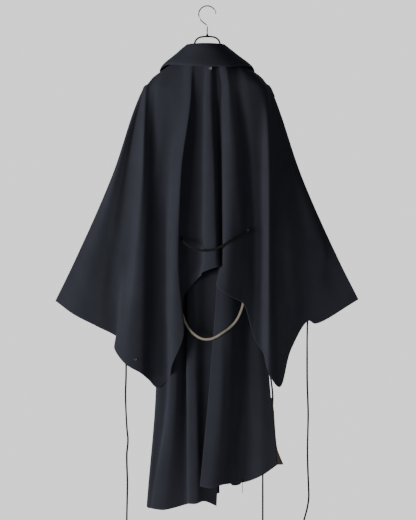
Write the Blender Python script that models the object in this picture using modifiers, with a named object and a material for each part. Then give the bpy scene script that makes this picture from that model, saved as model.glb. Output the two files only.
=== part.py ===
"""Inverness coat on a hanger: a long sleeveless coat under a wide cape, seen and measured from behind.

Units are metres, +Z is up and -Y is the coat's back.  The origin is the inside top of the hanger's
hook, where a rail carries it.  Left and right are the wearer's, so left is -X.

Each cloth panel is a thin wall.  Its shape comes from a table of fold lines, one row for each line that
runs from the neck or shoulder seam down to the hem.  A row gives the line's x and how far it stands out
from the shoulder plane at three levels and at the hem, in millimetres.
"""

import math
from collections import namedtuple

import bpy
import numpy as np
from mathutils import Vector

MM = 0.001

# Driving dimensions, in millimetres.
CLOTH = 2.0              # wall of the wool
LINING = 1.2             # wall of the lining
SEAM = 1.0               # half of the space left between front and back at the shoulder
TOUCH = 0.4              # space between pieces that touch
SIDE_OUT = CLOTH + 0.2   # outer face of a wall that lies on its twin at a side seam

NECK_WIDTH = 62          # half of the coat's neck opening, and its depth behind and in front
NECK_DEPTH = 57
NECK_SIDE_Z = -138
NECK_BACK_Z = -145
NECK_FRONT_Z = -192
SHOULDER_SLOPE = 0.73    # drop for each step outwards, about 36 degrees
SHOULDER_TIP = 140       # beyond this the seam turns down into the side seam
SHOULDER_ROUND = 22
SHOULDER_FALL = 8        # and falls this much more by its end
CAPE_OVER = 3.4          # the cape lies this far above the coat at neck and shoulder

CAPE_LEVELS = (-234, -472, -710)
COAT_LEVELS = (-234, -520, -1020)

HOOK_RADIUS = 24         # hook, measured to the middle of its wire
HOOK_WIRE = 3.5
STEM_END_Z = -77
FERRULE_RADIUS = 3.6
FERRULE_HEIGHT = 4.2
ROD = 4.4                # painted rod of the hanger's frame

TAPE = 5.0               # diameter that stands for the two flat tapes
TIE = 3.4                # diameter of the tie cords
THREAD = 1.6             # diameter of the short tail

BUTTON = 20              # front buttons
BUTTON_THICK = 3.6
BUTTON_HEIGHTS = (-262, -392, -522, -652)
BACK_BUTTON = 8.5
BACK_BUTTON_THICK = 3.0
EYELET_RADIUS = 2.6      # two small eyelets
EYELET_WIRE = 1.4
BACK_BUTTON_AT = (9, -180)       # x and z on the cape's back
WAIST_EYELET_AT = (112, -628)
HEM_EYELET_AT = (-200, -985)

ROLL_ROWS = [0, 0.0015, 0.006, 0.014]    # shares of the drop where the first rows lie, close together in the roll

Fold = namedtuple("Fold", "name seam high middle low hem hem_z out_high out_middle out_low out_hem")

CAPE_BACK = [
    #    name                seam  high  mid   low   hem  hem_z  out: high mid low hem
    Fold("left wing edge",   -172, -182, -266, -370, -425, -824, 2.2, 2.2, 2.2, 2.2),
    Fold("left wing ridge",  -169, -180, -257, -324, -372, -862, 5, 17, 16, 19),
    Fold("left wing slope",  -167, -179, -240, -283, -308, -893, 7, 14, 12, 15),
    Fold("left wing valley", -165, -178, -222, -246, -250, -928, 9, 10, 8, 13),
    Fold("flute 1 flank",    -160, -176, -202, -226, -267, -956, 15, 22, 17, 42),
    Fold("flute 1 crest",    -154, -172, -181, -204, -228, -999, 23, 54, 50, 60),
    Fold("flute 1 fall",     -146, -163, -166, -180, -183, -1024, 24, 47, 50, 54),
    Fold("flute 1 foot",     -134, -153, -151, -150, -163, -1042, 31, 33, 29, 38),
    Fold("left point",       -118, -139, -135, -128, -139, -1065, 37, 30, 20, 31),
    Fold("flute 2 foot",     -98,  -98,  -110, -117, -117, -1044, 44, 33, 24, 29),
    Fold("flute 2 flank",    -72,  -68,  -92,  -97,  -104, -1006, 50, 46, 52, 50),
    Fold("flute 2 edge",     -48,  -49,  -73,  -82,  -61,  -917, 60, 64, 64, 63),
    Fold("recess left",      -30,  -40,  -66,  -75,  -66,  -814, 54, 44, 44, 45),
    Fold("recess right",     -8,   -14,  -5,   -14,  -21,  -753, 55, 37, 35, 40),
    Fold("flute 3 left",     -1,   -5,   0,    -9,   -18,  -744, 61, 60, 60, 66),
    Fold("flute 3 right",    7,    3,    14,   27,   30,   -728, 65, 67, 70, 76),
    Fold("narrow valley",    14,   20,   29,   37,   40,   -734, 54, 43, 44, 48),
    Fold("flute 4 edge",     27,   40,   44,   44,   24,   -780, 61, 70, 69, 70),
    Fold("flute 4 crest",    46,   52,   63,   58,   46,   -799, 64, 75, 71, 74),
    Fold("flute 4 fall",     60,   66,   90,   84,   76,   -816, 57, 66, 61, 62),
    Fold("flute 4 foot",     76,   82,   112,  112,  101,  -831, 52, 52, 46, 50),
    Fold("right valley",     100,  114,  130,  138,  132,  -930, 51, 46, 35, 40),
    Fold("flute 5 flank",    128,  150,  152,  153,  147,  -967, 41, 45, 38, 43),
    Fold("flute 5 edge",     146,  167,  169,  165,  165,  -1014, 26, 66, 82, 84),
    Fold("right point",      156,  174,  186,  190,  201,  -1061, 15, 54, 78, 74),
    Fold("right wing fall",  163,  177,  212,  228,  232,  -959, 10, 34, 55, 54),
    Fold("right notch",      168,  179,  236,  284,  282,  -879, 6, 20, 30, 32),
    Fold("right wing ridge", 170,  179.5, 250, 326,  302,  -887, 4, 12, 18, 26),
    Fold("right wing edge",  172,  180,  263,  368,  423,  -820, 2.2, 2.2, 2.2, 2.2),
]

CAPE_FRONT_LEFT = [
    Fold("wing edge",    -172, -182, -266, -370, -425, -824, 2.2, 2.2, 2.2, 2.2),
    Fold("wing ridge",   -164, -170, -226, -292, -330, -862, 12, 22, 30, 30),
    Fold("wing valley",  -154, -160, -200, -246, -268, -896, 20, 32, 26, 22),
    Fold("flute crest",  -140, -148, -176, -206, -226, -960, 32, 56, 70, 78),
    Fold("valley",       -122, -126, -142, -158, -166, -1008, 40, 47, 46, 50),
    Fold("point",        -98,  -102, -122, -130, -134, -1040, 46, 53, 60, 68),
    Fold("front crest",  -70,  -78,  -94,  -100, -102, -990, 54, 64, 78, 86),
    Fold("front valley", -50,  -54,  -66,  -74,  -76,  -926, 56, 54, 56, 58),
    Fold("opening edge", -20,  -32,  -44,  -54,  -60,  -884, 58, 56, 60, 64),
]

CAPE_FRONT_RIGHT = [
    Fold("opening edge", 20,   32,   46,   58,   64,   -876, 58, 56, 60, 66),
    Fold("front valley", 50,   54,   70,   80,   84,   -922, 56, 54, 55, 57),
    Fold("front crest",  70,   79,   98,   106,  110,  -984, 54, 65, 76, 84),
    Fold("point",        98,   104,  126,  138,  146,  -1034, 46, 52, 58, 64),
    Fold("valley",       124,  130,  150,  170,  180,  -996, 39, 45, 44, 48),
    Fold("flute crest",  142,  152,  184,  222,  236,  -920, 30, 52, 66, 74),
    Fold("wing valley",  156,  165,  210,  270,  290,  -862, 18, 28, 24, 22),
    Fold("wing ridge",   166,  174,  236,  312,  352,  -844, 10, 18, 26, 28),
    Fold("wing edge",    172,  180,  263,  368,  423,  -820, 2.2, 2.2, 2.2, 2.2),
]

COAT_BACK_LEFT = [
    Fold("side seam",    -148, -128, -141, -143, -170, -1398, 26, 2.2, 2.2, 2.2),
    Fold("side ridge",   -128, -116, -128, -134, -166, -1402, 31, 12, 19, 17),
    Fold("side crease",  -114, -107, -114, -115, -160, -1404, 34, 15, 17, 16),
    Fold("flute 1 edge", -106, -101, -109, -110, -155, -1406, 36, 17, 34, 36),
    Fold("flute 1 face", -80,  -80,  -88,  -88,  -112, -1410, 41, 20, 36, 38),
    Fold("deep crease",  -54,  -51,  -60,  -66,  -61,  -1388, 44, 20, 20, 20),
    Fold("flute 2 edge", -46,  -45,  -54,  -60,  -55,  -1385, 45, 20, 38, 40),
    Fold("flute 2 face", -32,  -30,  -30,  -42,  -37,  -1387, 45, 20.5, 41, 43),
    Fold("foot",         -16,  -14,  4,    -10,  -8,   -1380, 45, 20, 21, 24),
    Fold("under lap",    -3,   4,    56,   40,   26,   -1397, 44, 19.5, 20, 26),
]

COAT_BACK_RIGHT = [
    Fold("lap edge",     3,    8,    38,   9,    -20,  -1337, 49, 29, 51, 56),
    Fold("light flute",  18,   22,   54,   30,   6,    -1345, 50, 30, 54, 58),
    Fold("dark flank",   42,   44,   74,   52,   36,   -1331, 48, 28, 48, 50),
    Fold("valley",       62,   68,   93,   78,   70,   -1334, 44, 24, 31, 33),
    Fold("hem dip",      84,   88,   112,  106,  104,  -1332, 40, 20, 15, 18),
    Fold("side ridge",   108,  104,  124,  134,  146,  -1314, 35, 15, 14, 15),
    Fold("side seam",    148,  128,  141,  169,  195,  -1284, 26, 2.2, 2.2, 2.2),
]

COAT_FRONT_LEFT = [
    Fold("side seam",    -148, -128, -141, -143, -170, -1398, 26, 2.2, 2.2, 2.2),
    Fold("side ridge",   -104, -100, -108, -112, -130, -1402, 34, 30, 40, 52),
    Fold("valley",       -72,  -68,  -72,  -74,  -82,  -1392, 40, 34, 32, 36),
    Fold("front ridge",  -44,  -42,  -40,  -40,  -44,  -1384, 46, 40, 44, 52),
    Fold("centre",       -18,  -2,   0,    0,    2,    -1374, 51, 42, 44, 50),
    Fold("lap edge",     -5,   26,   28,   30,   34,   -1368, 52, 43, 46, 53),
]

COAT_FRONT_RIGHT = [
    Fold("under lap",    5,    -26,  -28,  -30,  -26,  -1366, 45, 37, 38, 42),
    Fold("centre",       18,   2,    0,    0,    4,    -1362, 45, 37, 38, 42),
    Fold("front ridge",  44,   48,   50,   58,   64,   -1346, 44, 37, 40, 46),
    Fold("valley",       72,   74,   82,   94,   102,  -1330, 40, 33, 32, 36),
    Fold("side ridge",   104,  102,  112,  134,  146,  -1308, 34, 29, 38, 48),
    Fold("side seam",    148,  128,  141,  169,  195,  -1284, 26, 2.2, 2.2, 2.2),
]

# The collar's fall: where its outer edge lies, for each direction from the neck's middle.
Rim = namedtuple("Rim", "angle edge_x edge_y edge_z fold_z")
COLLAR = [
    Rim(-158, -46,  90,  -262, -166),
    Rim(-140, -78,  86,  -248, -150),
    Rim(-115, -118, 54,  -206, -122),
    Rim(-90,  -131, 4,   -178, -107),
    Rim(-62,  -111, -20, -165, -106),
    Rim(-42,  -80,  -42, -166, -106),
    Rim(-22,  -42,  -67, -172, -106),
    Rim(0,    4,    -77, -175, -106),
    Rim(22,   54,   -68, -175, -106),
    Rim(44,   92,   -40, -170, -106),
    Rim(64,   116,  -20, -170, -107),
    Rim(90,   133,  4,   -179, -108),
    Rim(115,  120,  54,  -207, -122),
    Rim(140,  80,   86,  -248, -150),
    Rim(158,  48,   90,  -262, -166),
]
STAND_WIDTH, STAND_DEPTH = 54.5, 47.5     # foot of the stand, just inside the coat's neck
STAND_TUCK = 2                            # the stand reaches this far below the neck seam
FOLD_WIDTH, FOLD_DEPTH = 50, 46           # where the collar turns over
FOLD_SHIFT = -3                           # the turned edge hangs a little to the left
FOLD_ROUND = 4
FALL_LIFT = 5                             # the fall bows up this far on its way out
FRONT_FULLER = 8                          # and both are this much fuller in front

# The lining that shows: height, how far it reaches past the side seam, and how far it flares forward.
LiningRow = namedtuple("LiningRow", "z width flare")
LINING_EDGE = [
    LiningRow(-1096, 3, 0),
    LiningRow(-1130, 5, 1),
    LiningRow(-1175, 4, 1),
    LiningRow(-1215, 3.5, 1),
    LiningRow(-1240, 5, 2),
    LiningRow(-1262, 11, 4),
    LiningRow(-1283, 18, 7),
]

HOOK_TAIL = [(-16, -40.5), (-9, -46.5), (-3, -51.5), (0, -57.5), (0, -66)]      # (x, z) below the arc
FRAME_ARCH = [(0, -84), (12, -84.6), (23, -87.2), (31, -93.5), (36, -104), (40, -124), (46, -140.5), (56, -149)]
FRAME_ARM = [(66, -155), (100, -175), (130, -193.8), (146, -205.4), (157, -214.5), (161, -224), (160, -232)]

# Routes of the tapes and cords, (x, y, z), from where each is sewn on to its free end.
WAIST_TAPE = [
    (-72.2, -48.5, -645.5), (-69, -52.8, -653), (-61.5, -57.4, -663), (-50, -62, -671), (-36, -66.6, -678),
    (-20, -70.2, -683), (-4, -72.1, -684), (12, -73.1, -682), (28, -74.3, -677), (42, -75.1, -670),
    (56, -75, -661), (63, -73.9, -656.5), (71, -72, -651.5), (84, -66.7, -644), (97, -60.1, -636),
    (106, -55.4, -629), (109.5, -53.7, -625.5),
]
SEAT_TAPE = [
    (-78, -57.6, -832), (-73.5, -55, -846), (-68.6, -51, -862), (-61.5, -48.6, -881), (-49, -48.4, -903),
    (-31, -48.6, -920), (-12, -50.3, -929), (8, -52.2, -929), (26, -53.3, -922), (34, -53.6, -917),
    (42, -53, -912), (50, -51.6, -906.5), (58, -49.3, -901), (73, -46.7, -887), (85, -46.2, -870), (93, -46.4, -852),
    (98, -45.7, -836), (100, -44.9, -822),
]
LEFT_TIE = [
    (-225, -55, -984), (-225, -55.2, -1000), (-225, -55.2, -1020), (-225.5, -55.1, -1045), (-226.5, -55, -1070),
    (-226.5, -54.9, -1095), (-225.5, -54.8, -1125), (-224, -54.8, -1155), (-222.5, -54.8, -1180), (-220, -54.8, -1205),
    (-220.5, -54.8, -1222), (-223, -54.8, -1245), (-223, -54.8, -1275), (-221.5, -54.8, -1320), (-222, -54.8, -1370),
    (-223, -54.8, -1420), (-223, -54.8, -1470),
]
RIGHT_TIE = [
    (279, -28.8, -862), (279, -28.8, -880), (278.5, -28.7, -905), (278, -28.6, -940), (278, -28.6, -980),
    (278, -28.6, -1020), (278.5, -28.6, -1060), (280, -28.6, -1100), (281, -28.6, -1140), (280, -28.6, -1190),
    (279, -28.6, -1240), (280, -28.6, -1290), (282, -28.6, -1340), (282.5, -28.6, -1372), (278, -28.6, -1402),
    (271, -28.6, -1428), (267, -28.6, -1442),
]
INNER_TIE = [
    (166, 47.4, -985), (168, 43.5, -1000), (173, 37, -1020), (178, 30, -1040), (181, 25, -1060),
    (183, 21, -1080), (184, 19, -1100), (183, 21, -1125), (180, 27, -1150), (175, 36, -1178), (169, 47, -1208),
    (162, 57, -1245), (158, 61, -1285), (157, 61, -1330), (157, 61, -1380), (157, 61, -1430), (157, 61, -1480),
]
TAIL = [
    (98, -16.6, -1322), (98, -16.7, -1326), (98, -16.7, -1330), (98, -16.6, -1334), (98, -16.5, -1338),
    (98, -16.5, -1342), (98.2, -16.5, -1346), (98.2, -16.5, -1350), (98, -16.5, -1354), (98, -16.5, -1357),
    (98, -16.5, -1360),
]


# ---------------------------------------------------------------- small tools

def clear_scene():
    for obj in list(bpy.data.objects):
        bpy.data.objects.remove(obj, do_unlink=True)


def material(name, colour, roughness, metallic=0.0):
    mat = bpy.data.materials.new(name)
    mat.use_nodes = True
    shader = mat.node_tree.nodes["Principled BSDF"]
    shader.inputs["Base Color"].default_value = (*colour, 1.0)
    shader.inputs["Roughness"].default_value = roughness
    shader.inputs["Metallic"].default_value = metallic
    mat.diffuse_color = (*colour, 1.0)
    return mat


def put(name, data, mat):
    """A new object in the coat's collection."""
    obj = bpy.data.objects.new(name, data)
    bpy.data.collections["inverness_coat"].objects.link(obj)
    data.materials.append(mat)
    return obj


def adopt(name, mat):
    """Names the primitive that was just added, and moves it to the coat's collection."""
    obj = bpy.context.object
    obj.name = obj.data.name = name
    obj.data.materials.append(mat)
    for group in list(obj.users_collection):
        group.objects.unlink(obj)
    bpy.data.collections["inverness_coat"].objects.link(obj)
    return obj


def round_off(obj, width_mm):
    edge = obj.modifiers.new("round", "BEVEL")
    edge.width = width_mm * MM
    edge.segments = 1


def tube(name, points_mm, diameter, mat, per_span=2, sides=2):
    """A round wire or cord along a smooth curve through the points."""
    line = smooth_line(np.array(points_mm, float), per_span) * MM
    curve = bpy.data.curves.new(name, "CURVE")
    curve.dimensions = "3D"
    curve.bevel_depth = diameter / 2 * MM
    curve.bevel_resolution = sides
    curve.use_fill_caps = True
    spline = curve.splines.new("POLY")
    spline.points.add(len(line) - 1)
    for point, place in zip(spline.points, line):
        point.co = (*place, 1.0)
    return put(name, curve, mat)


# ---------------------------------------------------------------- curves and surfaces

def smooth_line(points, per_span):
    """Points on a smooth curve through the given ones, per_span steps for each span."""
    return across(points[None], per_span)[0]


def across(rows, per_span):
    """Spline each row of points (rows, points, 3), with tangents weighted by the root of each span's length."""
    span = np.diff(rows, axis=1)
    step = np.sqrt(np.linalg.norm(span, axis=2, keepdims=True)) + 1e-6
    slope = span / step
    inner = (slope[:, :-1] * step[:, 1:] + slope[:, 1:] * step[:, :-1]) / (step[:, 1:] + step[:, :-1])
    tangent = np.concatenate([slope[:, :1], inner, slope[:, -1:]], axis=1)
    t = (np.arange(per_span) / per_span)[None, None, :, None]
    start, end = rows[:, :-1, None], rows[:, 1:, None]
    leave, arrive = tangent[:, :-1, None] * step[:, :, None], tangent[:, 1:, None] * step[:, :, None]
    curve = (
        (2 * t**3 - 3 * t**2 + 1) * start + (t**3 - 2 * t**2 + t) * leave
        + (3 * t**2 - 2 * t**3) * end + (t**3 - t**2) * arrive
    )
    return np.concatenate([curve.reshape(len(rows), -1, 3), rows[:, -1:]], axis=1)


def monotone(at, value, wanted):
    """Cubic through (at, value) for each line, without overshoot.  at, value: (lines, knots); wanted: (steps, lines)."""
    width = np.diff(at, axis=1)
    rise = np.diff(value, axis=1) / width
    before, after = rise[:, :-1], rise[:, 1:]
    same_way = before * after > 0
    mean = 2 * before * after / np.where(same_way, before + after, 1.0)
    slope = np.concatenate([rise[:, :1], np.where(same_way, mean, 0.0), rise[:, -1:]], axis=1)
    out = np.zeros_like(wanted)
    for k in range(width.shape[1]):
        t = (wanted - at[:, k]) / width[:, k]
        here = (t >= 0) if k else np.ones_like(t, bool)
        t = np.clip(t, 0, 1)
        curve = (
            (2 * t**3 - 3 * t**2 + 1) * value[:, k] + (t**3 - 2 * t**2 + t) * slope[:, k] * width[:, k]
            + (3 * t**2 - 2 * t**3) * value[:, k + 1] + (t**3 - t**2) * slope[:, k + 1] * width[:, k]
        )
        out = np.where(here, curve, out)
    return out


def seam_points(x, over, middle_z):
    """Where lines start: on the neck's oval, or outside it along the shoulder.  Returns how far out, and z."""
    wide, deep = NECK_WIDTH + over, NECK_DEPTH + over
    oval = np.sqrt(np.clip(1 - (x / wide) ** 2, 0, None))
    shoulder = np.clip(np.abs(x) - wide, 0, None)
    tip = np.clip((np.abs(x) - SHOULDER_TIP) / SHOULDER_ROUND, 0, 1)
    out = SEAM + (deep - SEAM) * oval + (SIDE_OUT - SEAM) * tip
    side_z = NECK_SIDE_Z + over
    return out, side_z + (middle_z + over - side_z) * oval - SHOULDER_SLOPE * shoulder - SHOULDER_FALL * tip**2


def draped(folds, levels, over, middle_z, side, rows, per_span):
    """The outer face of a panel, (rows, columns, 3) in metres.

    Each line drops from its seam to its hem.  Its x follows the drop, and its way out follows the drop's
    square root, which rolls the cloth over the shoulder.  side is -1 for the back and 1 for the front.
    """
    table = np.array([fold[1:] for fold in folds], float)
    seam_out, seam_z = seam_points(table[:, 0], over, middle_z)
    knots_z = np.column_stack([seam_z, np.tile(levels, (len(table), 1)), table[:, 5]])
    drops = seam_z[:, None] - knots_z
    q = np.linspace(0, 1, rows)[2:]
    share = np.concatenate([ROLL_ROWS, 0.6 * q**2 + 0.4 * q**1.5])[:, None]
    drop = drops[:, -1] * share
    x = monotone(drops, table[:, :5], drop)
    out = monotone(np.sqrt(drops), np.column_stack([seam_out, table[:, 6:]]), np.sqrt(drop))
    lines = np.stack([x, out, seam_z - drop], axis=2)
    grid = across(lines, per_span)
    grid[:, :, 1] = side * np.maximum(grid[:, :, 1], SEAM)
    return grid * MM


def wall(name, grid, thickness, mat, flip=False):
    """A closed wall: the grid is its outer face, and the thickness goes inwards."""
    rows, columns = grid.shape[:2]
    number = np.arange(rows * columns).reshape(rows, columns)
    corners = [number[:-1, :-1], number[1:, :-1], number[1:, 1:], number[:-1, 1:]]
    faces = np.stack(corners[::-1] if flip else corners, axis=2).reshape(-1, 4)
    mesh = bpy.data.meshes.new(name)
    mesh.from_pydata(grid.reshape(-1, 3).tolist(), [], faces.tolist())
    mesh.shade_smooth()
    obj = put(name, mesh, mat)
    solid = obj.modifiers.new("wall", "SOLIDIFY")
    solid.thickness = thickness * MM
    solid.offset = -1
    return obj


# ---------------------------------------------------------------- the hanger

def hanger(steel, paint):
    """A bent wire hook, a small ferrule, and a painted rod bent to an arch and two arms."""
    middle_z = HOOK_WIRE / 2 - HOOK_RADIUS
    turn = np.radians(np.linspace(4, 222, 20))
    arc = [(HOOK_RADIUS * math.cos(a), 0, middle_z + HOOK_RADIUS * math.sin(a)) for a in turn]
    tail = [(x, 0, z) for x, z in HOOK_TAIL] + [(0, 0, STEM_END_Z)]
    tube("hanger_hook", arc + tail, HOOK_WIRE, steel, per_span=1)

    top = STEM_END_Z - TOUCH
    bpy.ops.mesh.primitive_cylinder_add(
        vertices=16, radius=FERRULE_RADIUS * MM, depth=FERRULE_HEIGHT * MM,
        location=(0, 0, (top - FERRULE_HEIGHT / 2) * MM),
    )
    round_off(adopt("hanger_ferrule", steel), 0.6)

    half = FRAME_ARCH + FRAME_ARM
    both = [(-x, 0, z) for x, z in half[:0:-1]] + [(x, 0, z) for x, z in half]
    tube("hanger_frame", both, ROD, paint, per_span=1)


# ---------------------------------------------------------------- the cloth

def coat(wool):
    """The sleeveless coat: two backs that lap in a long vent, and two fronts that lap to close."""
    back = dict(levels=COAT_LEVELS, over=0, middle_z=NECK_BACK_Z, side=-1, rows=18, per_span=2)
    front = dict(back, middle_z=NECK_FRONT_Z, side=1, rows=16)
    left_back = draped(COAT_BACK_LEFT, **back)
    right_back = draped(COAT_BACK_RIGHT, **back)
    left_front = draped(COAT_FRONT_LEFT, **front)
    right_front = draped(COAT_FRONT_RIGHT, **front)
    wall("coat_back_left", left_back, CLOTH, wool)
    wall("coat_back_right", right_back, CLOTH, wool)
    wall("coat_front_left", left_front, CLOTH, wool, flip=True)
    wall("coat_front_right", right_front, CLOTH, wool, flip=True)
    return right_back, left_front


def cape(wool):
    """The cape: one back and two fronts, which meet along the shoulders and down each wing's edge."""
    back = draped(CAPE_BACK, CAPE_LEVELS, CAPE_OVER, NECK_BACK_Z, -1, rows=19, per_span=2)
    wall("cape_back", back, CLOTH, wool)
    for name, folds in (("cape_front_left", CAPE_FRONT_LEFT), ("cape_front_right", CAPE_FRONT_RIGHT)):
        front = draped(folds, CAPE_LEVELS, CAPE_OVER, NECK_FRONT_Z, 1, rows=16, per_span=2)
        wall(name, front, CLOTH, wool, flip=True)
    return back


def collar(wool):
    """Stand and fall in one wall: up inside the neck, over the turned edge, and out over the cape."""
    table = np.array(COLLAR, float)
    turn = np.radians(table[:, 0])
    oval = np.sqrt(1 - (STAND_WIDTH * np.sin(turn) / NECK_WIDTH) ** 2)
    middle_z = np.where(np.cos(turn) > 0, NECK_BACK_Z, NECK_FRONT_Z)
    base_z = NECK_SIDE_Z + (middle_z - NECK_SIDE_Z) * oval - STAND_TUCK
    base = np.column_stack([STAND_WIDTH * np.sin(turn), -STAND_DEPTH * np.cos(turn), base_z])
    front = np.clip(-np.cos(turn), 0, 1) * FRONT_FULLER
    fold = np.column_stack(
        [FOLD_SHIFT + FOLD_WIDTH * np.sin(turn), -FOLD_DEPTH * np.cos(turn) + front, table[:, 4]]
    )
    edge = table[:, 1:4]
    out = edge - fold
    out[:, 2] = 0
    out /= np.linalg.norm(out, axis=1, keepdims=True)
    down = np.array([0, 0, -FOLD_ROUND])
    inside = fold - FOLD_ROUND * out + down
    outside = fold + FOLD_ROUND * out + down
    hip = outside + 0.45 * (edge - outside)
    hip[:, 2] += FALL_LIFT + front
    section = np.stack([base, 0.5 * (base + inside), inside, fold, outside, hip, edge], axis=0)
    rings = across(section, 2)
    grid = across(rings.transpose(1, 0, 2), 2).transpose(1, 0, 2) * MM
    wall("collar", grid[::-1], CLOTH, wool, flip=True)


def between(grid, steps):
    """The grid with straight steps put in between its points, along both of its directions."""
    for axis in (0, 1):
        first, last = np.take(grid, range(len(grid) - 1), 0), np.take(grid, range(1, len(grid)), 0)
        share = (np.arange(steps) / steps)[None, :, None, None]
        filled = first[:, None] * (1 - share) + last[:, None] * share
        grid = np.concatenate([filled.reshape(-1, *grid.shape[1:]), grid[-1:]]).transpose(1, 0, 2)
    return grid


def seat_on(panel, x, z, lift):
    """Where a small piece sits on a panel: the outer face's point nearest to x, z, moved out, and the way it faces."""
    grid = between(panel, 8)
    near = np.abs(grid[:, :, 0] - x * MM) + np.abs(grid[:, :, 2] - z * MM)
    row, column = np.unravel_index(near[1:-1, 1:-1].argmin(), near[1:-1, 1:-1].shape)
    row, column = row + 1, column + 1
    across_it = grid[row, column + 1] - grid[row, column - 1]
    down_it = grid[row + 1, column] - grid[row - 1, column]
    facing = np.cross(across_it, down_it)
    facing *= math.copysign(1 / np.linalg.norm(facing), facing[1] * grid[row, column, 1])
    return Vector(grid[row, column] + facing * lift * MM), Vector(facing).to_track_quat("Z", "Y").to_euler()


def button(name, panel, x, z, width, thick, mat):
    place, turn = seat_on(panel, x, z, thick / 2 + TOUCH)
    bpy.ops.mesh.primitive_cylinder_add(
        vertices=16, radius=width / 2 * MM, depth=thick * MM, location=place, rotation=turn
    )
    round_off(adopt(name, mat), thick / 4)


def eyelet(name, panel, x, z, mat):
    place, turn = seat_on(panel, x, z, EYELET_WIRE / 2 + TOUCH)
    bpy.ops.mesh.primitive_torus_add(
        major_segments=12, minor_segments=6, major_radius=EYELET_RADIUS * MM, minor_radius=EYELET_WIRE / 2 * MM,
        location=place, rotation=turn,
    )
    adopt(name, mat)


def lining(right_back, mat):
    """The strip of lining that shows past the coat's right side, widest at the hem."""
    strip = np.array(LINING_EDGE, float)
    edge = right_back[:, -1] / MM
    start = np.interp(-strip[:, 0], -edge[:, 2], edge[:, 0])
    share = np.linspace(0, 1, 4)
    x = start[:, None] + strip[:, 1:2] * share
    out = strip[:, 2:3] * share**2 + LINING / 2 + TOUCH
    z = np.repeat(strip[:, 0:1], len(share), axis=1)
    wall("lining_right", np.stack([x, out, z], axis=2) * MM, LINING, mat, flip=True)


def build():
    clear_scene()
    group = bpy.data.collections.new("inverness_coat")
    bpy.context.scene.collection.children.link(group)
    wool = material("black wool", (0.012, 0.012, 0.014), 0.85)
    steel = material("nickelled steel", (0.55, 0.5, 0.44), 0.3, 1.0)
    paint = material("black enamel", (0.02, 0.02, 0.02), 0.4)
    tape = material("cotton tape", (0.42, 0.39, 0.34), 0.8)
    hanger(steel, paint)
    horn = material("dark horn", (0.05, 0.035, 0.025), 0.35)
    shell = material("pale horn", (0.45, 0.33, 0.26), 0.4)
    satin = material("brown satin lining", (0.2, 0.16, 0.14), 0.5)
    cotton = material("black cotton cord", (0.012, 0.012, 0.013), 0.8)
    right_back, left_front = coat(wool)
    cape_back = cape(wool)
    collar(wool)
    lining(right_back, satin)
    button("button_back", cape_back, *BACK_BUTTON_AT, BACK_BUTTON, BACK_BUTTON_THICK, shell)
    for number, height in enumerate(BUTTON_HEIGHTS, 1):
        button(f"button_front_{number}", left_front, 2, height, BUTTON, BUTTON_THICK, horn)
    eyelet("eyelet_waist", cape_back, *WAIST_EYELET_AT, steel)
    eyelet("eyelet_hem", cape_back, *HEM_EYELET_AT, steel)
    tube("waist_strap", WAIST_TAPE, TAPE, wool)
    tube("seat_strap", SEAT_TAPE, TAPE, tape)
    tube("cord_left", LEFT_TIE, TIE, cotton, per_span=1)
    tube("cord_right", RIGHT_TIE, TIE, cotton, per_span=1)
    tube("cord_inner", INNER_TIE, TIE, cotton, per_span=1)
    tube("cord_tail", TAIL, THREAD, cotton, per_span=1)


build()
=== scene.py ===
"""Inverness coat on a hanger: the cloth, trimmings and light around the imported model.

The coat is seen from behind.  Units are metres, +Z is up and -Y is the coat's back; left and right are the
wearer's, so left is -X.  Every cloth panel is a grid of points: columns follow fold lines from the neck or
shoulder seam to the hem, and rows go round the body.  Tables below are in millimetres.
"""

import math
from collections import namedtuple

import bmesh
import bpy
import numpy as np
from bpy.props import FloatProperty, FloatVectorProperty, PointerProperty
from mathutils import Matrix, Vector


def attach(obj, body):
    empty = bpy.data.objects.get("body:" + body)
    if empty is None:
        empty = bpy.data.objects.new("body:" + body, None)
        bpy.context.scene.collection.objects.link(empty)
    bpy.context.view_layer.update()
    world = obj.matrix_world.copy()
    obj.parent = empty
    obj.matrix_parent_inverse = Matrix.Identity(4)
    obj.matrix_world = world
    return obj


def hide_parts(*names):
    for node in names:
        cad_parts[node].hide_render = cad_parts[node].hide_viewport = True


bl_info = {
    "name": "Inverness Coat",
    "version": (1, 0, 0),
    "blender": (4, 5, 0),
    "location": "View3D > Sidebar > Coat",
    "description": "Dresses the packed model of an inverness coat on its hanger",
    "category": "Object",
}

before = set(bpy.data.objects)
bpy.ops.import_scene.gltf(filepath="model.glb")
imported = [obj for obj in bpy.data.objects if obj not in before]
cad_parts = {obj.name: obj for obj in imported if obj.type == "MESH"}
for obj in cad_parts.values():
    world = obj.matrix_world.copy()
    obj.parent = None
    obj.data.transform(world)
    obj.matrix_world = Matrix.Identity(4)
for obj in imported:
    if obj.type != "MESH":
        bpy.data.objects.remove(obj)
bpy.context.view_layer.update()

MM = 0.001

# ---------------------------------------------------------------- sizes, in millimetres

SEAM = 1.0               # half of the space between front and back at the shoulder
SIDE_OUT = 2.2           # outer face of a panel where it lies on its twin
NECK_WIDTH, NECK_DEPTH = 62, 57
NECK_SIDE_Z, NECK_BACK_Z, NECK_FRONT_Z = -138, -145, -192
SHOULDER_SLOPE = 0.73
SHOULDER_TIP, SHOULDER_ROUND, SHOULDER_FALL = 140, 22, 8
CAPE_OVER = 3.4          # the cape lies this far above the coat at neck and shoulder
TOUCH = 0.4              # space between a piece and what carries it

# The heights at which the fold tables say where a line is.
CAPE_LEVELS = (-234, -472, -710)
COAT_LEVELS = (-234, -520, -1020)
# Columns of points from one fold line to the next.  SEAM_ROWS brings a panel's rows close together at the seam,
# and ROW_SPREAD spaces them out towards the hem.
COAT_SPAN, CAPE_SPAN, COLLAR_SPAN = 10, 8, 8
SEAM_ROWS, ROW_SPREAD = 60, 0.35

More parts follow.
